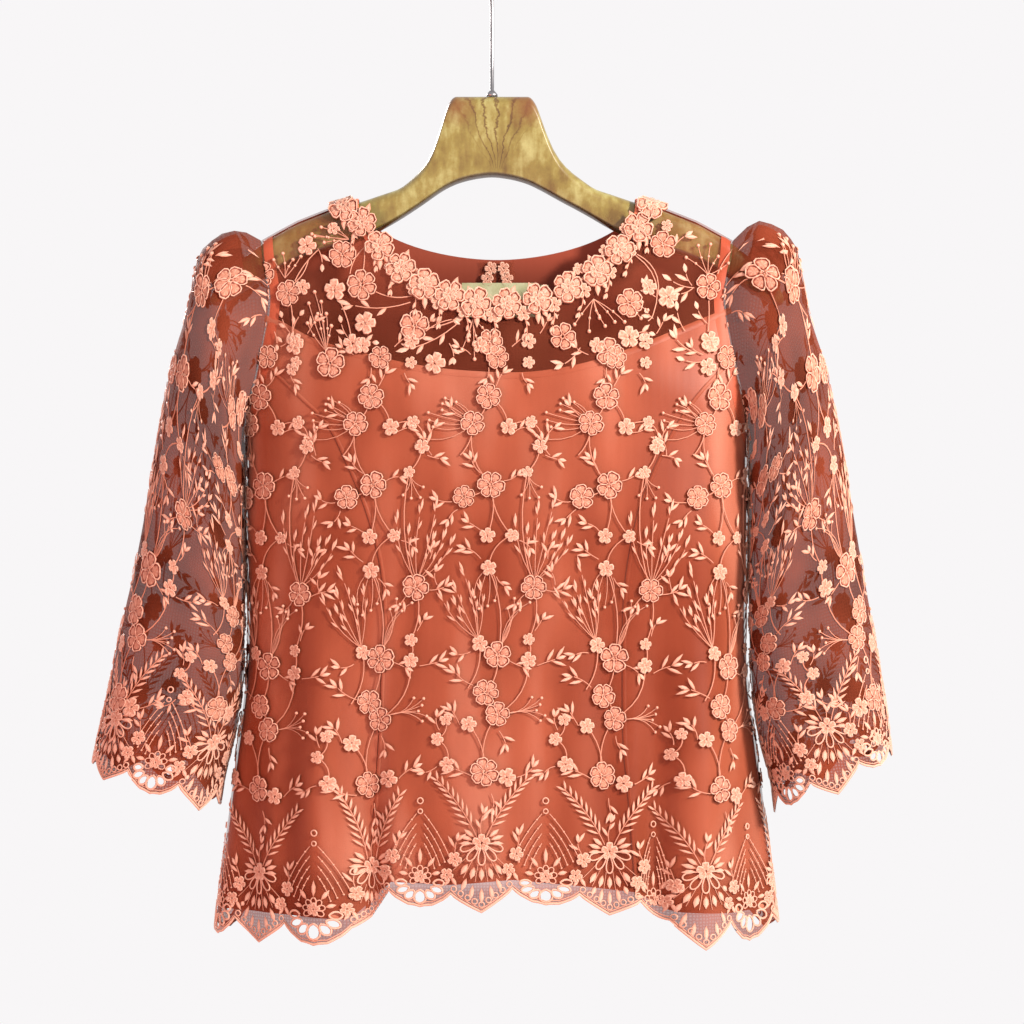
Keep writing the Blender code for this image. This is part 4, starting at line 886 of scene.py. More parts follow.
def only_used(faces):
    """The points that some faces use, and the faces numbered by those."""
    used, faces = np.unique(faces, return_inverse=True)
    return used, faces.reshape(-1, 3)


def lay(name, chart, faces, surface, height, *looks):
    """A sheet of cloth laid on a surface at a height. The size of its cut is reckoned, and nothing uses it."""
    used, faces = only_used(faces)
    chart = chart[used]
    piece = laid(name, surface, chart, height, faces, *looks)
    size = np.ptp(chart, axis=0)
    float(min(np.abs(twice_area(chart, faces)).sum() / 2, size[0] * size[1]))


def cut_cloth(outline, lines, holes=(), pitch=CLOTH_PITCH, clearance=0.45):
    """Triangles over an outline, their middles, and which lie within it and clear of its holes."""
    lines = [closed(outline), *lines]
    loose = lattice(outline.min(axis=0), outline.max(axis=0), pitch)
    loose = clear_of(loose[inside(loose, outline)], lines, pitch * clearance)
    chart, faces = triangulate(lines, loose)
    middle = chart[faces].mean(axis=1)
    uncut = ~np.any([inside(middle, hole) for hole in holes], axis=0)
    return chart, faces, middle, inside(middle, outline), uncut


trims = {}


def goes_with(sheet, *names):
    """Pieces that are sewn to a sheet."""
    trims.setdefault(sheet, []).extend(names)


def smooth_line(points, count, axis, trim=0.0):
    """Even points on the smooth curve through a chart's points, which run along one axis."""
    along, aside = points[:, axis], points[:, 1 - axis]
    fine = np.linspace(along[0] + trim, along[-1] - trim, count)
    curved = cubic(fine, along, aside)
    return np.column_stack([curved, fine] if axis else [fine, curved])


def front_panels(front):
    """The front's two princess seams, and its three panels as tests on chart points."""
    seams, beyond = {}, {}
    for name, sign in (("right", -1), ("left", 1)):
        line = front.chart(PRINCESS[name], PRINCESS["z"])
        edge = front.armhole_edge(sign)
        line[0] = edge[np.argmin(np.abs(edge[:, 1] - line[0][1]))]
        seams[name] = line = smooth_line(line, 50, 1)
        far = sign * FAR_OUT
        beyond[name] = np.vstack([line, [(line[-1][0], -FAR_OUT), (far, -FAR_OUT), (far, line[0][1])]])
    return seams, {
        "front_centre": lambda points: ~inside(points, beyond["left"]) & ~inside(points, beyond["right"]),
        "side_front_left": lambda points: inside(points, beyond["left"]),
        "side_front_right": lambda points: inside(points, beyond["right"]),
    }


def lay_body(body):
    """The net and the lining of one side of the body, panel by panel."""
    outline, scallops = body.outline(), body.scallops()
    holes = petal_holes(scallops, body.cusp)
    past = body.side(outline[:, 1].min())
    hem_s = np.linspace(-past, past, 60)
    lining_hem = np.stack([hem_s, body.cusp(hem_s) + LINING_LIFT], axis=1)
    lines = [lining_hem, *map(closed, holes)]
    if body.front:
        seams, panels = front_panels(body)
        top = smooth_line(body.chart(LINING_TOP["x"], LINING_TOP["z"]), 60, 0)
        lines += [*seams.values(), top]
    else:
        lines.append(np.array([(0, z) for z in np.linspace(*BACK_CUT, 60)]))
        panels = {"back_left": lambda points: points[:, 0] < 0, "back_right": lambda points: points[:, 0] > 0}
    chart, faces, middle, whole, uncut = cut_cloth(outline, lines, holes)
    lined = whole & (middle[:, 1] > np.interp(middle[:, 0], *lining_hem.T))
    if body.front:
        lined &= middle[:, 1] < np.interp(middle[:, 0], *top.T)
    for name, test in panels.items():
        shell, inner = faces[whole & uncut & test(middle)], faces[lined & test(middle)]
        lay(f"net_{name}", chart, shell, body, LACE_HEIGHT, BODY_NET, "lace", [f"lace_{name}"])
        lay(f"satin_{name}", chart, inner, body, LINING_HEIGHT, SATIN, "lining", [f"lining_{name}"])
    return outline, panels


# The sleeves

def along_line(line, count):
    """Points spaced evenly along a line of places."""
    run = np.concatenate([[0], np.cumsum(np.linalg.norm(np.diff(line, axis=0), axis=1))])
    wanted = np.linspace(0, run[-1], count)
    return np.stack([np.interp(wanted, run, line[:, axis]) for axis in range(line.shape[1])], axis=1)


def armhole_loop(front, back, sign):
    """The armhole's places, from the shoulder down the front and up the back, moved out to the sleeve."""
    halves = []
    for body, chart_sign in ((front, sign), (back, -sign)):
        places, normals = body.at(along_line(body.armhole_edge(chart_sign), 90))
        outward = SEAM_STEP_OUT[0] + SEAM_STEP_OUT[1] * np.clip(sign * normals[:, 0], 0, 1) ** 2
        places[:, 0] += sign * outward
        halves.append(along_line(places, SLEEVE_COLUMNS // 2 + 1))
    return np.vstack([halves[0][:-1], halves[1][::-1][:-1]])


def sleeve_ring(side, v):
    """A ring of the sleeve, evenly spaced from its outer end round the front."""
    outer_x, outer_z, inner_x, inner_z, deep = (
        float(cubic(v, SLEEVE["v"], SLEEVE[name]))
        for name in (f"{side}_x", f"{side}_z", "inner_x", "inner_z", "half_depth")
    )
    outer, inner = np.array([outer_x, 0, outer_z]), np.array([inner_x, 0, inner_z])
    turn = np.linspace(0, math.tau, 361)
    power = 2 / np.where(np.cos(turn) > 0, SLEEVE_POWER, SLEEVE_INNER_POWER)
    ring = (outer + inner) / 2 + signed_power(np.cos(turn), power)[:, None] * (outer - inner) / 2
    ring[:, 1] -= deep * signed_power(np.sin(turn), power)
    return along_line(ring, SLEEVE_COLUMNS + 1)[:-1]


def sleeve_surface(front, back, side, sign):
    """A sleeve's surface, charted across from its outer line round the front, and down from the armhole."""
    down = np.arange(0, SLEEVE_END, SLEEVE_ROW)
    across = np.arange(SLEEVE_COLUMNS) * SLEEVE_ROUND / SLEEVE_COLUMNS
    rings = np.stack([sleeve_ring(side, v) for v in down])
    rings[:, :, 0] *= sign
    start = armhole_loop(front, back, sign) - rings[0]
    rings += start[None] * (1 - ease(down / ARMHOLE_FADE))[:, None, None]

    def outward(places):
        surface = Surface(across, -down, places, wrap=SLEEVE_ROUND)
        surface.normals *= -sign
        return surface

    from_top = (across + SLEEVE_ROUND / 2) % SLEEVE_ROUND - SLEEVE_ROUND / 2
    window = np.cos(np.clip(from_top / GATHER_SPREAD, -1, 1) * math.pi / 2) ** 2
    waves = GATHER_DEPTH * np.cos(across * math.tau / GATHER_PITCH) * window
    fade = np.sin(np.clip(down / GATHER_REACH, 0, 1) * math.pi)
    # soft folds run on down the sleeve below the gathers
    folds = sum(deep * np.cos(across * math.tau / pitch + shift) for deep, pitch, shift in SLEEVE_FOLDS)
    stands = np.outer(fade, waves) + np.outer(ease((down - 40) / 90), folds)
    return outward(rings + outward(rings).normals * stands[:, :, None])


def sleeve_plan(side):
    """A sleeve's cusp line and its eight scallops."""
    plan = SLEEVE_HEMS[side]

    def outward(a):
        return math.cos(a * math.tau / SLEEVE_ROUND)

    kinds = ("fan", "spray") if side == "left" else ("spray", "fan")
    scallops = []
    for step in range(8):
        start = SLEEVE_SCALLOP * (step + 0.5)
        kind = kinds[step % 2]
        drop = plan[kind] * (1 - OUTER_DROP * max(0, outward(start + SLEEVE_SCALLOP / 2)))
        scallops.append((kind, start, start + SLEEVE_SCALLOP, drop))
    return lambda a: -plan["down"] + plan["tilt"] * outward(a), scallops


def lay_sleeve(side, surface):
    """A sleeve's net, one tube closed at its underarm."""
    cusp_at, scallops = sleeve_plan(side)
    first = SLEEVE_SCALLOP / 2
    last = first + SLEEVE_ROUND
    top = np.array([(a, 0.0) for a in np.linspace(first, last, 130)])
    edges = [np.array([(a, v) for v in np.linspace(0, cusp_at(a), 60)[1:-1]]) for a in (first, last)]
    outline = np.vstack([top, edges[1], hem_line(scallops, cusp_at)[::-1], edges[0][::-1]])
    holes = petal_holes(scallops, cusp_at)
    chart, faces, _, whole, uncut = cut_cloth(outline, map(closed, holes), holes)
    lay(f"net_sleeve_{side}", chart, faces[whole & uncut], surface, LACE_HEIGHT, SLEEVE_NET, "sleeve_net",
        [f"sleeve_{side}_front", f"sleeve_{side}_back"])
    return outline


# The embroidery, drawn in a chart as points (across, up, height)

class Stitching:
    """Embroidery in one chart: patches of faces, with each point's shade and distance along its thread."""

    def __init__(self):
        self.patches, self.size = [], 0

    def add(self, points, faces, shade, run):
        self.patches.append((points, faces + self.size, np.broadcast_to(shade, len(points)), run))
        self.size += len(points)

    def gathered(self):
        points, faces, shade, run = zip(*self.patches)
        return np.vstack(points), np.vstack(faces), np.concatenate(shade), np.concatenate(run)


def grid_faces(rows, columns, around=False):
    """The triangles between the rows of a grid, which may close on itself."""
    row, column = np.indices((rows - 1, columns if around else columns - 1)).reshape(2, -1)
    a, b = row * columns + column, row * columns + (column + 1) % columns
    return np.vstack([np.column_stack([a, b, b + columns]), np.column_stack([a, b + columns, a + columns])])


def dome_faces(rings, steps):
    """The triangles over rings of points that close on one last point."""
    last = (rings - 1) * steps
    crown = [(last + i, last + (i + 1) % steps, rings * steps) for i in range(steps)]
    return np.vstack([grid_faces(rings, steps, True), crown])


def circles(place, rings, steps):
    """Circles of points round a place, from the radius and height of each."""
    angle = np.arange(steps) * math.tau / steps
    return np.vstack([np.stack([place[0] + reach * np.cos(angle), place[1] + reach * np.sin(angle),
                                np.full(steps, high)], axis=1) for reach, high in rings])


def flower(stitching, place, radius, petals=5, turn=0.0, rise=1.0, kind=2, tone=0.0):
    """A flower: corded petals that stand a little apart round a dark centre."""
    rings, steps, width, foot, knot = BIG_FLOWER if kind == 2 else SMALL_FLOWER
    around = np.arange(steps) * math.tau / steps
    # narrow towards the centre, broad and a little notched at its far end
    wide = np.sin(around) * (0.82 + 0.3 * np.cos(around))
    along = np.cos(around) - 0.14 * np.exp(-(around - math.pi * (around > math.pi) * 2) ** 2 * 9)
    for petal in range(petals):
        size = chance.uniform(0.9, 1.08)
        heading = turn + petal * math.tau / petals + chance.uniform(-0.07, 0.07)
        out, beside = (np.array([math.cos(heading), math.sin(heading)]),
                       np.array([-math.sin(heading), math.cos(heading)]))
        points, shade = [], []
        for share, height, ring_shade in rings:
            flat = (place + out * radius * 0.53 + np.outer(along * share * radius * 0.5 * size, out)
                    + np.outer(wide * share * radius * math.sin(math.pi / petals) * width * size, beside))
            points.append(np.column_stack([flat, height * rise * (1 + 0.25 * along * share)]))
            # painted light: each ring's shade, lighter towards the petal's far end
            shade.append(ring_shade + 0.1 * along * share + 0.14 * np.cos(around * steps / 2))
        points.append([[*(place + out * radius * 0.5), rise * foot[0]]])
        run = [*np.tile(around * radius * 0.5, len(rings)), 0.0]
        shade = np.concatenate([*shade, foot[1:]]) + tone
        stitching.add(np.vstack(points), dome_faces(len(rings), steps), shade, run)
    reach = radius * knot
    for step in range(3):
        berry(stitching, turned(place, step * 120 + math.degrees(turn), reach), reach * 0.75, tone - 0.3)


def leaf(stitching, base, tip, width, rise=0.8, tone=0.62):
    """A leaf or a bud, raised along its middle."""
    base, tip = np.asarray(base, float), np.asarray(tip, float)
    along = tip - base
    length = max(math.hypot(*along), 1e-6)
    beside = np.array([-along[1], along[0]]) / length * width / 2
    points = [(*base, 0.1)]
    for share, full in ((0.32, 0.9), (0.62, 1.0)):
        middle, out = base + along * share, beside * full
        points += [(*(middle - out), 0.05), (*middle, rise * full), (*(middle + out), 0.05)]
    points.append((*tip, 0.15))
    stitching.add(np.array(points), LEAF_FACES, LEAF_SHADE + tone, LEAF_RUN * length * STITCH_RUN)


def curve(start, end, bow, count):
    """Points of a bowed line between two places."""
    start, end = np.asarray(start, float), np.asarray(end, float)
    share = np.linspace(0, 1, count)[:, None]
    beside = np.array([-(end - start)[1], (end - start)[0]])
    return start + (end - start) * share + beside * bow * 4 * share * (1 - share)


def across_line(line):
    """The direction to the left of a line at each of its points."""
    heading = unit(np.gradient(line, axis=0))
    return np.stack([-heading[:, 1], heading[:, 0]], axis=1)


def stem(stitching, line, width=0.9, rise=0.55, tone=0.45):
    """A cord of thread along a line."""
    line = np.asarray(line, float)
    beside = across_line(line) * width / 2
    flat = np.zeros((len(line), 1))
    points = np.stack([np.hstack([line - beside, flat]), np.hstack([line, flat + rise]),
                       np.hstack([line + beside, flat])], axis=1).reshape(-1, 3)
    run = np.concatenate([[0], np.cumsum(np.linalg.norm(np.diff(line, axis=0), axis=1))])
    # painted light: the cord's ridge is lighter, its sides darker
    shade = np.tile([tone - 0.3, tone + 0.2, tone - 0.2], len(line))
    stitching.add(points, grid_faces(len(line), 3), shade, np.repeat(run, 3))


def berry(stitching, place, radius, tone=0.0):
    """A round knot of thread."""
    points = np.vstack([circles(place, ((radius, 0), (radius * 0.62, radius * 0.78)), 6),
                        [(*place, radius * 1.05)]])
    # painted highlight: the knot is lighter towards its crown
    shade = np.repeat([0.35, 0.7, 0.95], (6, 6, 1)) + tone
    stitching.add(points, dome_faces(2, 6), shade, points[:, 0] * 1.4)


def ring(stitching, place, radius, width=1.3, rise=0.9, tone=0.6):
    """A corded eyelet."""
    points = circles(place, ((radius - width, 0), (radius - width / 2, rise), (radius, 0)), 12)
    run = np.tile(np.arange(12) * math.tau / 12 * radius, 3)
    # painted light: the eyelet's crown is lighter, its sides darker
    stitching.add(points, grid_faces(3, 12, True), tone + np.repeat([-0.3, 0.25, -0.1], 12), run)


def turned(place, angle, reach):
    """The point at a heading from a place: 0 is up, 90 is right."""
    turn = math.radians(angle)
    return np.array([place[0] + math.sin(turn) * reach, place[1] + math.cos(turn) * reach])


def heading_of(start, end):
    return math.degrees(math.atan2(end[0] - start[0], end[1] - start[1]))


def point_on(line, place):
    """The point of a line at a place counted in its points."""
    return np.array([np.interp(place, range(len(line)), line[:, axis]) for axis in (0, 1)])


def twig(stitching, base, tip, bow=0.06, buds=4, bud=8.0, width=2.6, tone=0.6, spread=24.0, first=0.3):
    """A stem that ends in a leaf, with more leaves on both sides in turn."""
    line = curve(base, tip, bow, 7)
    stem(stitching, line[:-1], 0.85, 0.5, tone - 0.15)
    tip = turned(line[-1], heading_of(line[-2], line[-1]), bud * 0.55)
    leaf(stitching, line[-2] * 0.6 + line[-1] * 0.4, tip, width, tone=tone + 0.08)
    for step in range(buds):
        place = (first + (0.86 - first) * step / max(buds - 1, 1)) * 6
        at = point_on(line, place)
        sign = 1 if step % 2 else -1
        angle = heading_of(at, point_on(line, place + 0.5)) + sign * (spread + chance.uniform(-5, 5))
        leaf(stitching, at, turned(at, angle, bud * chance.uniform(0.85, 1.1)), width * 0.9, tone=tone)


def frond(stitching, base, tips, tone=0.56):
    """A sheaf of long thin stems with narrow buds, between the tips that bound it."""
    angles, reaches = np.array(sorted((heading_of(base, tip), math.dist(base, tip)) for tip in tips)).T
    middle = (angles[0] + angles[-1]) / 2
    count = int(np.clip(np.ptp(angles) / 7.5, 6, 9))
    for step, angle in enumerate(np.linspace(angles[0], angles[-1], count)):
        reach = np.interp(angle, angles, reaches) * (1.06, 0.7, 0.9)[step % 3] * chance.uniform(0.95, 1.05)
        bow = -0.0035 * (angle - middle) + chance.uniform(-0.03, 0.03)
        tip = turned(base, angle + chance.uniform(-2, 2), reach)
        twig(stitching, base, tip, bow, 3, 9.0, 2.1, tone, 14.0, 0.45)


def berry_spray(stitching, base, first, last, count=7, tone=0.5):
    """Thin stalks with a knot at each end, fanning out between two tips."""
    from_angle, to_angle = heading_of(base, first), heading_of(base, last)
    to_angle = from_angle + (to_angle - from_angle + 180) % 360 - 180
    for step in range(count):
        share = step / (count - 1)
        reach = math.dist(base, first) * (1 - share) + math.dist(base, last) * share
        tip = turned(base, from_angle + (to_angle - from_angle) * share, reach * (0.78, 1, 0.9)[step % 3])
        stem(stitching, curve(base, tip, 0.3 * (share - 0.5), 6), 0.7, 0.45, tone - 0.05)
        berry(stitching, tip, 1.45)


def sprig(stitching, base, angle, length=20.0, width=2.9, tone=0.6):
    """A leafy sprig that grows out of a flower."""
    tip, bow, buds = turned(base, angle, length * 0.72), chance.uniform(-0.12, 0.12), 2 if length < 19 else 3
    twig(stitching, base, tip, bow, buds, 7 + length * 0.2, width, tone, 38.0, 0.42)


def fern(stitching, base, tip, bow, pairs=8, length=8.0, tone=0.58):
    """A curved branch with a row of leaflets on each side, laid forward along it."""
    line = curve(base, tip, bow, 12)
    stem(stitching, line, 0.9, 0.6)
    for pair in range(1, pairs + 1):
        share = 0.06 + 0.9 * pair / pairs
        at = point_on(line, share * 11)
        for sign in (-1, 1):
            angle = heading_of(line[0], line[-1]) + sign * (36 - 10 * share)
            leaf(stitching, at, turned(at, angle, length * (1.05 - 0.3 * share)), 1.9, tone=tone)


def set_flower(stitching, place, kind, radius, turn):
    kind = int(kind)
    petals = 6 if kind == 2 and round(radius * 2) % 2 else 5
    flower(stitching, np.array(place, float), radius, petals, math.radians(turn), FLOWER_RISE[kind], kind,
           FLOWER_TONE[kind])


def stitch_cell(stitching, to_chart):
    """One repeat of flowers, fronds, sprays, leaves and joining cords."""
    def put(*places):
        return [to_chart(place) for place in places]

    for start, end, bow in CELL_STEMS:
        stem(stitching, curve(*put(start, end), bow, 7), 1.2, 0.6, 0.36)
    for base, tips in CELL_FRONDS:
        base, *tips = put(base, *tips)
        frond(stitching, base, tips)
    for base, first, last, count in CELL_BERRIES:
        berry_spray(stitching, *put(base, first, last), count)
    for x, z, heading, length in rows(CELL_SPRIGS):
        sprig(stitching, *put((x, z)), heading + chance.uniform(-8, 8), length)
    for x, z, kind, radius, turn in rows(CELL_FLOWERS):
        radius, turn = radius * chance.uniform(0.95, 1.06), turn + chance.uniform(-9, 9)
        set_flower(stitching, *put((x, z)), kind, radius, turn)


# The borders

def downward(angle):
    """The direction at an angle from straight down, and the direction across it."""
    turn = math.radians(angle)
    return np.array([math.sin(turn), -math.cos(turn)]), np.array([math.cos(turn), math.sin(turn)])


def loops(stitching, centre, angles, reach, long, half, steps, *cord, plump=(1.0, 0.0)):
    """Corded loops set round a centre, at angles from straight down."""
    for angle in angles:
        out, side = downward(angle)
        stem(stitching, [centre + out * (reach + long * math.cos(t))
                         + side * half * math.sin(t) * (plump[0] + plump[1] * math.cos(t))
                         for t in np.linspace(0, math.tau, steps)], *cord)


def spray_border(stitching, start, end, drop, cusp_at):
    """A pointed scallop: long ferns rise from a flower, loops and leaves spread down to a row of eyelets."""
    middle, half = (start + end) / 2, (end - start) / 2
    squeeze = (end - start) / SCALLOP_WIDTH
    lift = SPRAY_RISE + drop * SPRAY_RISE_SHARE
    bottom = lift + drop
    centre = np.array([middle, float(cusp_at(middle)) + lift])
    for sign in (-1, 1):
        tip = turned(centre, sign * 36 * min(squeeze, 1.1), 60)
        fern(stitching, turned(centre, sign * 38, 6), tip, sign * 0.05, 8, 11.5)
        for angle, reach in SPRAY_LEAVES:
            leaf(stitching, turned(centre, sign * angle, 7), turned(centre, sign * angle, reach), 3.4, 0.9)
    twig(stitching, turned(centre, 0, 5), turned(centre, 6, 24), 0.1, 3, 9.0, 2.8, 0.6, 32.0)
    loops(stitching, centre, SPRAY_LOOPS, 10.5, 6.5, 3.2, 17, 1.25, 1.0, 0.74, plump=(0.8, 0.3))
    # leaves from the loops down to the eyelets, in two rows
    for angle in np.linspace(-66, 66, 9):
        out, _ = downward(angle * squeeze)
        room = bottom * max(math.cos(math.radians(angle)), 0.35) ** 1.3 - 9
        if room > 24:
            leaf(stitching, centre + out * 19, centre + out * min(29, room), 4.2, 1.0, 0.66)
    for angle in np.linspace(-34, 34, 7):
        out, _ = downward(angle * squeeze)
        room = bottom * math.cos(math.radians(angle)) ** 1.6 - 7
        if room > 33:
            leaf(stitching, centre + out * max(room - 12, 29), centre + out * room, 3.6, 1.0, 0.7)
    for angle in np.linspace(-46, 46, 6):
        out, _ = downward(angle * squeeze)
        stem(stitching, [centre + out * reach for reach in (15, 24, 30)], 0.6, 0.4, 0.5)
    set_flower(stitching, centre, 1, 7.6, 18)
    for share in np.linspace(-0.9, 0.9, 9):
        s = middle + share * half
        edge = float(cusp_at(s)) - scallop("spray", share, drop)
        ring(stitching, (s, edge + EYELET_LIFT), 2.6, 1.15, 1.0, 0.68)


def fan_border(stitching, start, end, drop, cusp_at):
    """A round scallop: cut petals in corded loops under a flower, with nested beaded lines above."""
    centre, squeeze = fan_frame(start, end, drop, cusp_at)
    if drop >= LEAST_CUT_DROP:
        for petal in rows(FAN_PETALS):
            stem(stitching, closed(centre + squeeze * fan_petal(*petal, grow=1.35)), 1.7, 1.2, 0.76)
    bud = centre + (0, FAN_BUD_LIFT)
    loops(stitching, bud, FAN_LOOPS, 5.6, 3.2, 2.2, 13, 1.0, 0.8, 0.7)
    set_flower(stitching, bud, 0, 5.6, 6)
    for angle, reach in FAN_LEAVES:
        leaf(stitching, turned(bud, angle, 9), turned(bud, angle, reach), 3.3, 0.9, 0.64)
    # nested lines fall to both sides of an axis with two rings on it
    apex = bud + (0, FAN_APEX)
    for step in range(4):
        top = apex - (0, 7.5 * step + 8)
        for sign in (-1, 1):
            foot = top + (sign * (23 - 4 * step) * squeeze[0], -36 + 5 * step)
            line = curve(top + (sign * 3, -2), foot, 0.04 * sign, 8)
            stem(stitching, line, 0.85, 0.5, 0.52)
            for place in line[1::2]:
                berry(stitching, place, 0.95, -0.05)
    for below, radius, width in ((0, 2.8, 1.2), (8, 2.3, 1.1)):
        ring(stitching, apex - (0, below), radius, width, 1.0, 0.66)


def border(stitching, scallops, cusp_at):
    """The embroidery of a whole scalloped edge, with its corded rim and its row of small flowers."""
    for kind, start, end, drop in scallops:
        (spray_border if kind == "spray" else fan_border)(stitching, start, end, drop, cusp_at)
        top = float(cusp_at(start))
        for beside, above, radius in RIM_FLOWERS:
            set_flower(stitching, (start + beside, top + above), 1, radius, 10 * radius)
        sprig(stitching, (start + 3, top + 30), chance.uniform(-30, 30), 17)
        for sign in (-1, 1):
            leaf(stitching, (start, top + 14), turned((start, top + 14), 180 - sign * 32, 9), 3.0)
    edge = hem_line(scallops, cusp_at, 16)
    stem(stitching, edge + (0, 1.0), 1.9, 1.1, 0.74)
    stem(stitching, edge + (0, 3.2), 0.9, 0.6, 0.6)


# Laying the embroidery on its net

def sew(name, stitching, surface, keep, slot, nodes=(), lift=LACE_HEIGHT + STITCH_LIFT, side=1, cloth=""):
    """Embroidery on one side of a surface, sewn to its cloth, with the faces whose middles pass a test."""
    points, faces, shade, run = stitching.gathered()
    used, faces = only_used(faces[keep(points[:, :2][faces].mean(axis=1))])
    points = points[used]
    laid(name, surface, points[:, :2], lift + side * points[:, 2], faces, FLOSS, slot, nodes, side=side,
         shade=shade[used], run=run[used])
    goes_with(cloth or name.replace("embroidery", "net"), name)


def stitch_yoke(stitching, to_chart, clear):
    """The small flowers and sprigs above the repeat, those of them that pass a test."""
    for x, z, kind, radius, turn in rows(YOKE_FLOWERS):
        if clear(to_chart((x, z))):
            set_flower(stitching, to_chart((x, z)), kind, radius, turn)
    for x, z, heading, length in rows(YOKE_SPRIGS):
        sprig(stitching, to_chart((x, z)), heading, length)


def stitch_body(body, outline, panels):
    """The embroidery over one side of the body."""
    stitching = Stitching()
    half = float(body.side(FRONT_HEM["z"][0]))
    middle_cusp = float(body.cusp(0))
    flowers = neck_places(body) if body.front else []
    first, last = math.floor((-half - FIRST_COLUMN) / REPEAT), math.ceil((half - FIRST_COLUMN) / REPEAT)
    for column in np.arange(first, last + 1) * REPEAT + FIRST_COLUMN:
        def to_chart(place):
            lower = ease((-420 - place[1]) / 260) * (float(body.cusp(column + place[0])) - middle_cusp) * 0.6
            return np.array([column + place[0], place[1] + lower])

        stitch_cell(stitching, to_chart)
        stitch_yoke(stitching, lambda place: (column + place[0], place[1]),
                    lambda place: all(math.dist(place, flower_at) > NECK_CLEARANCE for flower_at in flowers))
    border(stitching, body.scallops(), body.cusp)
    stitch_shoulders(stitching, body)
    for name, test in panels.items():
        sew(f"embroidery_{name}", stitching, body,
            lambda points: inside(points, outline) & test(points), "lace")


def neck_places(body):
    return body.chart(NECK_FLOWERS["x"], NECK_FLOWERS["z"])


def stitch_shoulders(stitching, body):
    """The yoke's own flowers, branches and beaded stalks, on the front and, mirrored, on the back."""
    side = 1 if body.front else -1

    def put(x, z):
        return body.chart(side * x, z)[0]

    for x, z, to_x, to_z, bow in SHOULDER_STEMS[:: 1 if body.front else 3]:
        stem(stitching, curve(put(x, z), put(to_x, to_z), bow * side, 7), 1.0, 0.6, 0.5)
    for x, z, to_x, to_z, buds, bud in SHOULDER_TWIGS:
        twig(stitching, put(x, z), put(to_x, to_z), 0.08 * side, buds, bud, 3.6, 0.66, 34.0, 0.35)
    for base, *tips in SHOULDER_SPRAYS:
        # the front's stalks grow from the flowers of the neckline, the back's from flowers of their own
        if not body.front:
            set_flower(stitching, put(*base), 1, 8.0, 0)
        for place in tips:
            line = curve(put(*base), put(*place), chance.uniform(-0.06, 0.06), 6)
            stem(stitching, line, 0.75, 0.45, 0.5)
            berry(stitching, line[-1], 1.7)
            berry(stitching, line[3], 1.3)
    for x, z, kind, radius, turn in rows(SHOULDER_FLOWERS):
        set_flower(stitching, put(x, z), kind, radius, turn)


def stitch_neck(front):
    """The row of raised flowers along the neckline, with leaves between them, in place of the solid trim."""
    places = neck_places(front)
    stitching = Stitching()
    for index, place in enumerate(places):
        for heading, reach in NECK_LEAVES[index % 2::2]:
            leaf(stitching, turned(place, heading, 6), turned(place, heading, reach), 4.2, 1.0)
        flower(stitching, place, 12.6, 5 + index % 2, index * 0.4, 1.6, 2)
        flower(stitching, place, 6.4, 5, index * 0.9, 2.3, 1, 0.1)
    stem(stitching, places, 3.2, 1.0, 0.4)
    for place, after in zip(places[:-1], places[1:]):
        middle = (place + after) / 2
        set_flower(stitching, middle + (1, -9), 1, 6.4, 20)
        if abs(middle[0]) > 50:
            set_flower(stitching, middle + (-3, 8), 0, 5.0, 40)
        twig(stitching, middle + (0, -9), middle + (chance.uniform(-5, 5), -27), 0.1, 3, 6, 2.4)
    sew("neck_flowers", stitching, front, lambda points: np.ones(len(points), bool), "neck_trim",
        ["neck_trim"], TRIM_LIFT, cloth="net_front_centre")


def stitch_sleeve(side, surface, outline):
    """The embroidery over one sleeve."""
    stitching = Stitching()
    cusp_at, scallops = sleeve_plan(side)
    for index in range(-1, 5):
        def to_chart(place):
            column = SLEEVE_COLUMN_START + SLEEVE_REPEAT * index
            return np.array([column + place[0] * SLEEVE_REPEAT / REPEAT, SLEEVE_RISE + place[1]])

        stitch_cell(stitching, to_chart)
        stitch_yoke(stitching, to_chart, lambda place: True)
    # a sheaf fans over the cap, above the gathered strip
    frond(stitching, CAP_SHEAF, CAP_SHEAF_TIPS)
    for heading in CAP_SPRIGS:
        sprig(stitching, CAP_SHEAF, heading, 26)
    border(stitching, scallops, cusp_at)
    sew(f"embroidery_sleeve_{side}", stitching, surface, lambda points: inside(points, outline), "sleeve_net")


# Bands, facings, label and tag

def ribbon(name, line, surface, width, height, finish, slot, puff, *cloths):
    """A narrow folded band along a line of a chart, rounded across, and sewn to its cloth."""
    line = np.asarray(line, float)
    beside = across_line(line)
    shares = np.linspace(-1, 1, 5)
    chart = np.vstack([line + beside * width / 2 * share for share in shares])
    lift = np.repeat(height + puff * (1 - shares**2), len(line))
    laid(name, surface, chart, lift, grid_faces(len(shares), len(line)), finish, slot)
    for cloth in cloths:
        goes_with(cloth, name)


def armhole_bands(body):
    """The two layers of cloth folded along each armhole, seen coral through the lace."""
    for sign in (-1, 1):
        edge = along_line(body.armhole_edge(sign), 70)
        inward = across_line(edge)
        inward *= np.sign(inward[:, :1] * -sign)
        side = "left" if (sign > 0) == body.front else "right"
        face, cloth = ("front", "net_side_front") if body.front else ("back", "net_back")
        ribbon(f"armhole_band_{face}_{side}", edge + inward * (BAND_WIDTH / 2 + 1), body, BAND_WIDTH,
               BAND_HEIGHT, SEAM_SATIN, "lining", 0.3, f"{cloth}_{side}")


# The hanger

def tube_faces(sections, around):
    """The faces round a row of sections, closed at both ends."""
    faces = []
    for section in range(sections - 1):
        for i in range(around):
            a, b = section * around + i, section * around + (i + 1) % around
            faces.append((a, b, b + around, a + around))
    return [*faces, tuple(range(around))[::-1], tuple(range((sections - 1) * around, sections * around))]


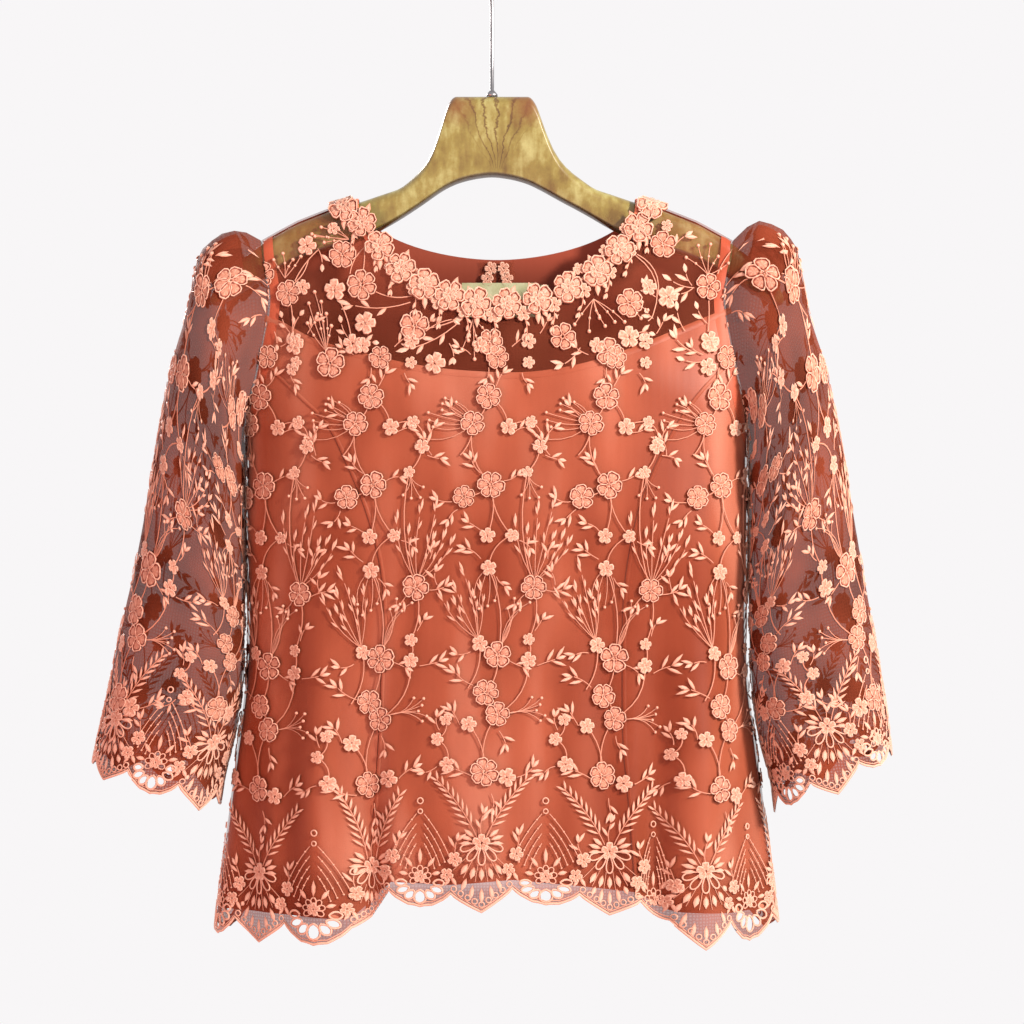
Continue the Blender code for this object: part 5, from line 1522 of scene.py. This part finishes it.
def hanger_body():
    """The wooden hanger, from tip to tip."""
    stations = np.concatenate([-HANGER_STATIONS[:0:-1], HANGER_STATIONS])
    points = []
    for x in stations:
        away = abs(x)
        top = np.mean(np.interp(away + CORNER_ROUND, HANGER_TOP["x"], HANGER_TOP["z"]))
        bottom = cubic(math.hypot(away, ARCH_ROUND), HANGER_BOTTOM["x"], HANGER_BOTTOM["z"])
        tip = math.sqrt(max(1 - max(0, (away - TIP_START) / (ARM_TIP + 0.5 - TIP_START)) ** 2, 0.04))
        middle, half = (top + bottom) / 2, (top - bottom) / 2 * tip
        thick = ARM_RADIUS * tip
        shift = BLOCK_SHIFT * (1 - ease((away - BLOCK_HALF) / BLOCK_FADE))
        for turn in HANGER_TURNS:
            angle = math.radians(turn)
            if turn <= 180:
                z = middle + half - min(thick, half) * (1 - math.sin(angle))
            else:
                z = middle - half + 0.6 * thick * (1 + math.sin(angle))
            points.append((x + shift, thick * math.cos(angle), z))
    faces = tube_faces(len(stations), len(HANGER_TURNS))
    add_mesh("hanger_body", points, faces, WOOD, "hanger_wood", ["hanger"])


def hook():
    """The steel hook, from its collar on the block to its tip."""
    radius = HOOK_INNER + HOOK_WIRE
    route = list(rows(SHANK))
    bend = [(angle, HOOK_WIRE) for angle in np.linspace(238, -22, 40)]
    for angle, thick in (*bend, (-27, HOOK_WIRE * 0.55)):
        turn = math.radians(angle)
        route.append((radius * math.cos(turn), radius * math.sin(turn) - HOOK_INNER, thick))
    route = np.array(route)
    heading = unit(np.gradient(route[:, :2], axis=0))
    points = []
    for (x, z, thick), (head_x, head_z) in zip(route, heading):
        for angle in np.arange(HOOK_SIDES) * math.tau / HOOK_SIDES:
            beside = thick * math.cos(angle)
            points.append((x + head_z * beside, thick * math.sin(angle), z - head_x * beside))
    add_mesh("steel_hook", points, tube_faces(len(route), HOOK_SIDES), STEEL, "hook_steel", ["hanger_hook"])


# Camera, light and stage

def light(name, place, aim, size, power, colour):
    data = bpy.data.lights.new(name, "AREA")
    data.size, data.energy, data.color = size, power, linear(colour)[:3]
    lamp = bpy.data.objects.new(name, data)
    bpy.context.scene.collection.objects.link(lamp)
    lamp.location = place
    lamp.rotation_euler = (Vector(aim) - Vector(place)).to_track_quat("-Z", "Y").to_euler()


def studio():
    """The camera, three soft lamps, a pale world and a plain pale floor."""
    scene = bpy.context.scene
    data = bpy.data.cameras.new("camera")
    data.sensor_width = SENSOR
    data.lens = SENSOR * -CAMERA_PLACE[1] / VIEW_WIDTH
    camera = bpy.data.objects.new("camera", data)
    scene.collection.objects.link(camera)
    camera.location = CAMERA_PLACE
    camera.rotation_euler = (math.pi / 2, 0, 0)
    scene.camera = camera
    scene.view_settings.view_transform = "Standard"
    world = bpy.data.worlds.new("studio")
    world.use_nodes = True
    world.node_tree.nodes["Background"].inputs[0].default_value = linear("#f8f6f7")
    scene.world = world
    light("key", (1.3, -1.1, 0.3), (0, 0, -0.45), 0.2, 80, "#fff6f0")
    # warm light thrown back by the room, low on the left
    light("bounce", (-1.2, -1.3, -0.9), (-0.1, 0, -0.6), 0.8, 15, "#ff5a2c")
    light("behind", (-1.0, 1.6, 0.3), (0, 0, -0.45), 0.6, 30, "#fff8f4")
    # the floor is as far down as it is under a rail, so the photograph's frame doesn't reach it
    mesh = bpy.data.meshes.new("floor")
    rim = circles((0, 0), [(FLOOR_REACH, FLOOR_LEVEL)], 64).tolist()
    mesh.from_pydata(rim, [], [tuple(range(64))])
    mesh.materials.append(painted_floor())
    floor = bpy.data.objects.new("floor", mesh)
    scene.collection.objects.link(floor)


# Small pieces at the back neck, sleeve heads and trims

def rectangle(middle, size, steps=6):
    """The outline of a small sewn-on piece."""
    corners = np.array([(-1, -1), (1, -1), (1, 1), (-1, 1), (-1, -1)]) * np.array(size) / 2
    sides = [np.linspace(*corners[i:i + 2], steps, endpoint=False) for i in range(4)]
    return np.vstack(sides) + middle


def patch(name, outline, surface, height, finish, slot, node):
    """A small piece of cloth on a surface, cut to an outline."""
    chart, faces, _, whole, _ = cut_cloth(outline, (), pitch=PATCH_PITCH, clearance=0.4)
    lay(name, chart, faces[whole], surface, height, finish, slot, [node])


def lay_back_neck(back):
    """The lace turned in at each side of the centre back seam, the bare label across it and the bare tag."""
    neck = float(back.neck_edge()[:, 1].min())
    heights = np.linspace(neck - 1, FACING_END, 30)
    wavy = [(FACING_WIDTH - 1.6 * abs(math.sin(z * 0.33)), z) for z in heights]
    for name, sign in (("left", -1), ("right", 1)):
        edge = np.array([(0.6, FACING_END), *wavy[::-1], (0.6, neck - 1)]) * (sign, 1)
        patch(f"net_facing_{name}", edge, back, FACING_HEIGHT, BODY_NET, "lace", f"back_facing_{name}")
        stitching = Stitching()
        for step, z in enumerate(np.linspace(neck - 6, FACING_END + 6, 4)):
            set_flower(stitching, (sign * (5 + 3 * (step % 2)), z), step % 2, 5.6, step * 20)
            leaf(stitching, (sign * 8, z - 4), (sign * 13, z - 8), 2.6)
        sew(f"embroidery_facing_{name}", stitching, back, lambda points: inside(points, edge), "lace", (),
            FACING_HEIGHT - STITCH_LIFT, -1)
    for name, node, middle, size, height, steps in SMALL_PIECES:
        patch(name, rectangle(back.chart(*middle)[0], size, steps), back, height, TAPE, "label", node)


def lay_sleeve_head(side, surface):
    """The gathered strip that holds up the sleeve's cap, in pleats that fan out from the armhole."""
    depth = HEAD_BOTTOM - HEAD_TOP
    chart, heights = [], []
    for share in np.linspace(0, 1, HEAD_ROWS):
        for a in np.linspace(-1, 1, HEAD_COLUMNS):
            pleat = math.cos(a * HEAD_PLEATS * math.pi + 0.5 * math.sin(a * 9))
            ruffle = 1.2 * math.sin(a * 23) * share
            chart.append((a * HEAD_SPREAD * (0.7 + 0.3 * share),
                          -HEAD_TOP - depth * share + ruffle + 6 * a * a * share))
            heights.append(-2.9 - 1.3 * math.sin(share * math.pi) + (0.5 + 0.9 * share) * pleat)
    faces = grid_faces(HEAD_ROWS, HEAD_COLUMNS)
    piece = laid(f"gathered_head_{side}", surface, np.array(chart), heights, faces, SEAM_SATIN, "lining",
                 [f"sleeve_head_{side}"])


def lay_trims(front, back):
    """The bindings of the neck, the lining's folded top, the princess seams and the back's middle seam."""
    for body, name, cloth in ((front, "front", "net_front_centre"), (back, "back", "net_back_left")):
        edge = along_line(body.neck_edge(), 120) - (0, 2.2)
        ribbon(f"neck_binding_{name}", edge, body, 3.6, LACE_HEIGHT + 0.2, SEAM_SATIN, "lace", 0.5, cloth)
    fold = smooth_line(front.chart(LINING_TOP["x"], LINING_TOP["z"]), 90, 0, 2) - (0, 2.6)
    ribbon("lining_top_fold", fold, front, 5.0, LINING_HEIGHT + 0.1, SATIN, "lining", 0.45,
           "satin_front_centre")
    for name, line in front_panels(front)[0].items():
        line = along_line(line[line[:, 1] > float(front.cusp(line[-1][0])) + 2], 90)
        cloth = f"satin_side_front_{name}"
        ribbon(f"princess_{name}", line, front, 3.0, LINING_HEIGHT + 0.2, SATIN, "lining", 0.6, cloth)
        # the line of stitching beside each seam is darkened as painted shade of the seam's dip
        ribbon(f"princess_stitch_shade_{name}", line - (1.7, 0), front, 0.8, LINING_HEIGHT + 0.3, SEAM_SHADE_THREAD,
               "lining", 0.0, cloth)
    top = float(back.neck_edge()[:, 1].min()) - 4
    middle = np.array([(0, z) for z in np.linspace(top, BACK_SEAM_END, 80)])
    for offset, side in ((-1.1, "left"), (1.1, "right")):
        ribbon(f"back_seam_{side}", middle + (offset, 0), back, 1.9, LINING_HEIGHT + 0.25, SEAM_SATIN,
               "lining", 0.5, f"satin_back_{side}")


def main():
    studio()
    rings = body_rings()
    hanger_body()
    hook()
    front, back = BodySide(rings, True), BodySide(rings, False)
    for body in (front, back):
        stitch_body(body, *lay_body(body))
        armhole_bands(body)
    stitch_neck(front)
    lay_back_neck(back)
    lay_trims(front, back)
    for side, sign in (("left", 1), ("right", -1)):
        surface = sleeve_surface(front, back, side, sign)
        stitch_sleeve(side, surface, lay_sleeve(side, surface))
        lay_sleeve_head(side, surface)


main()
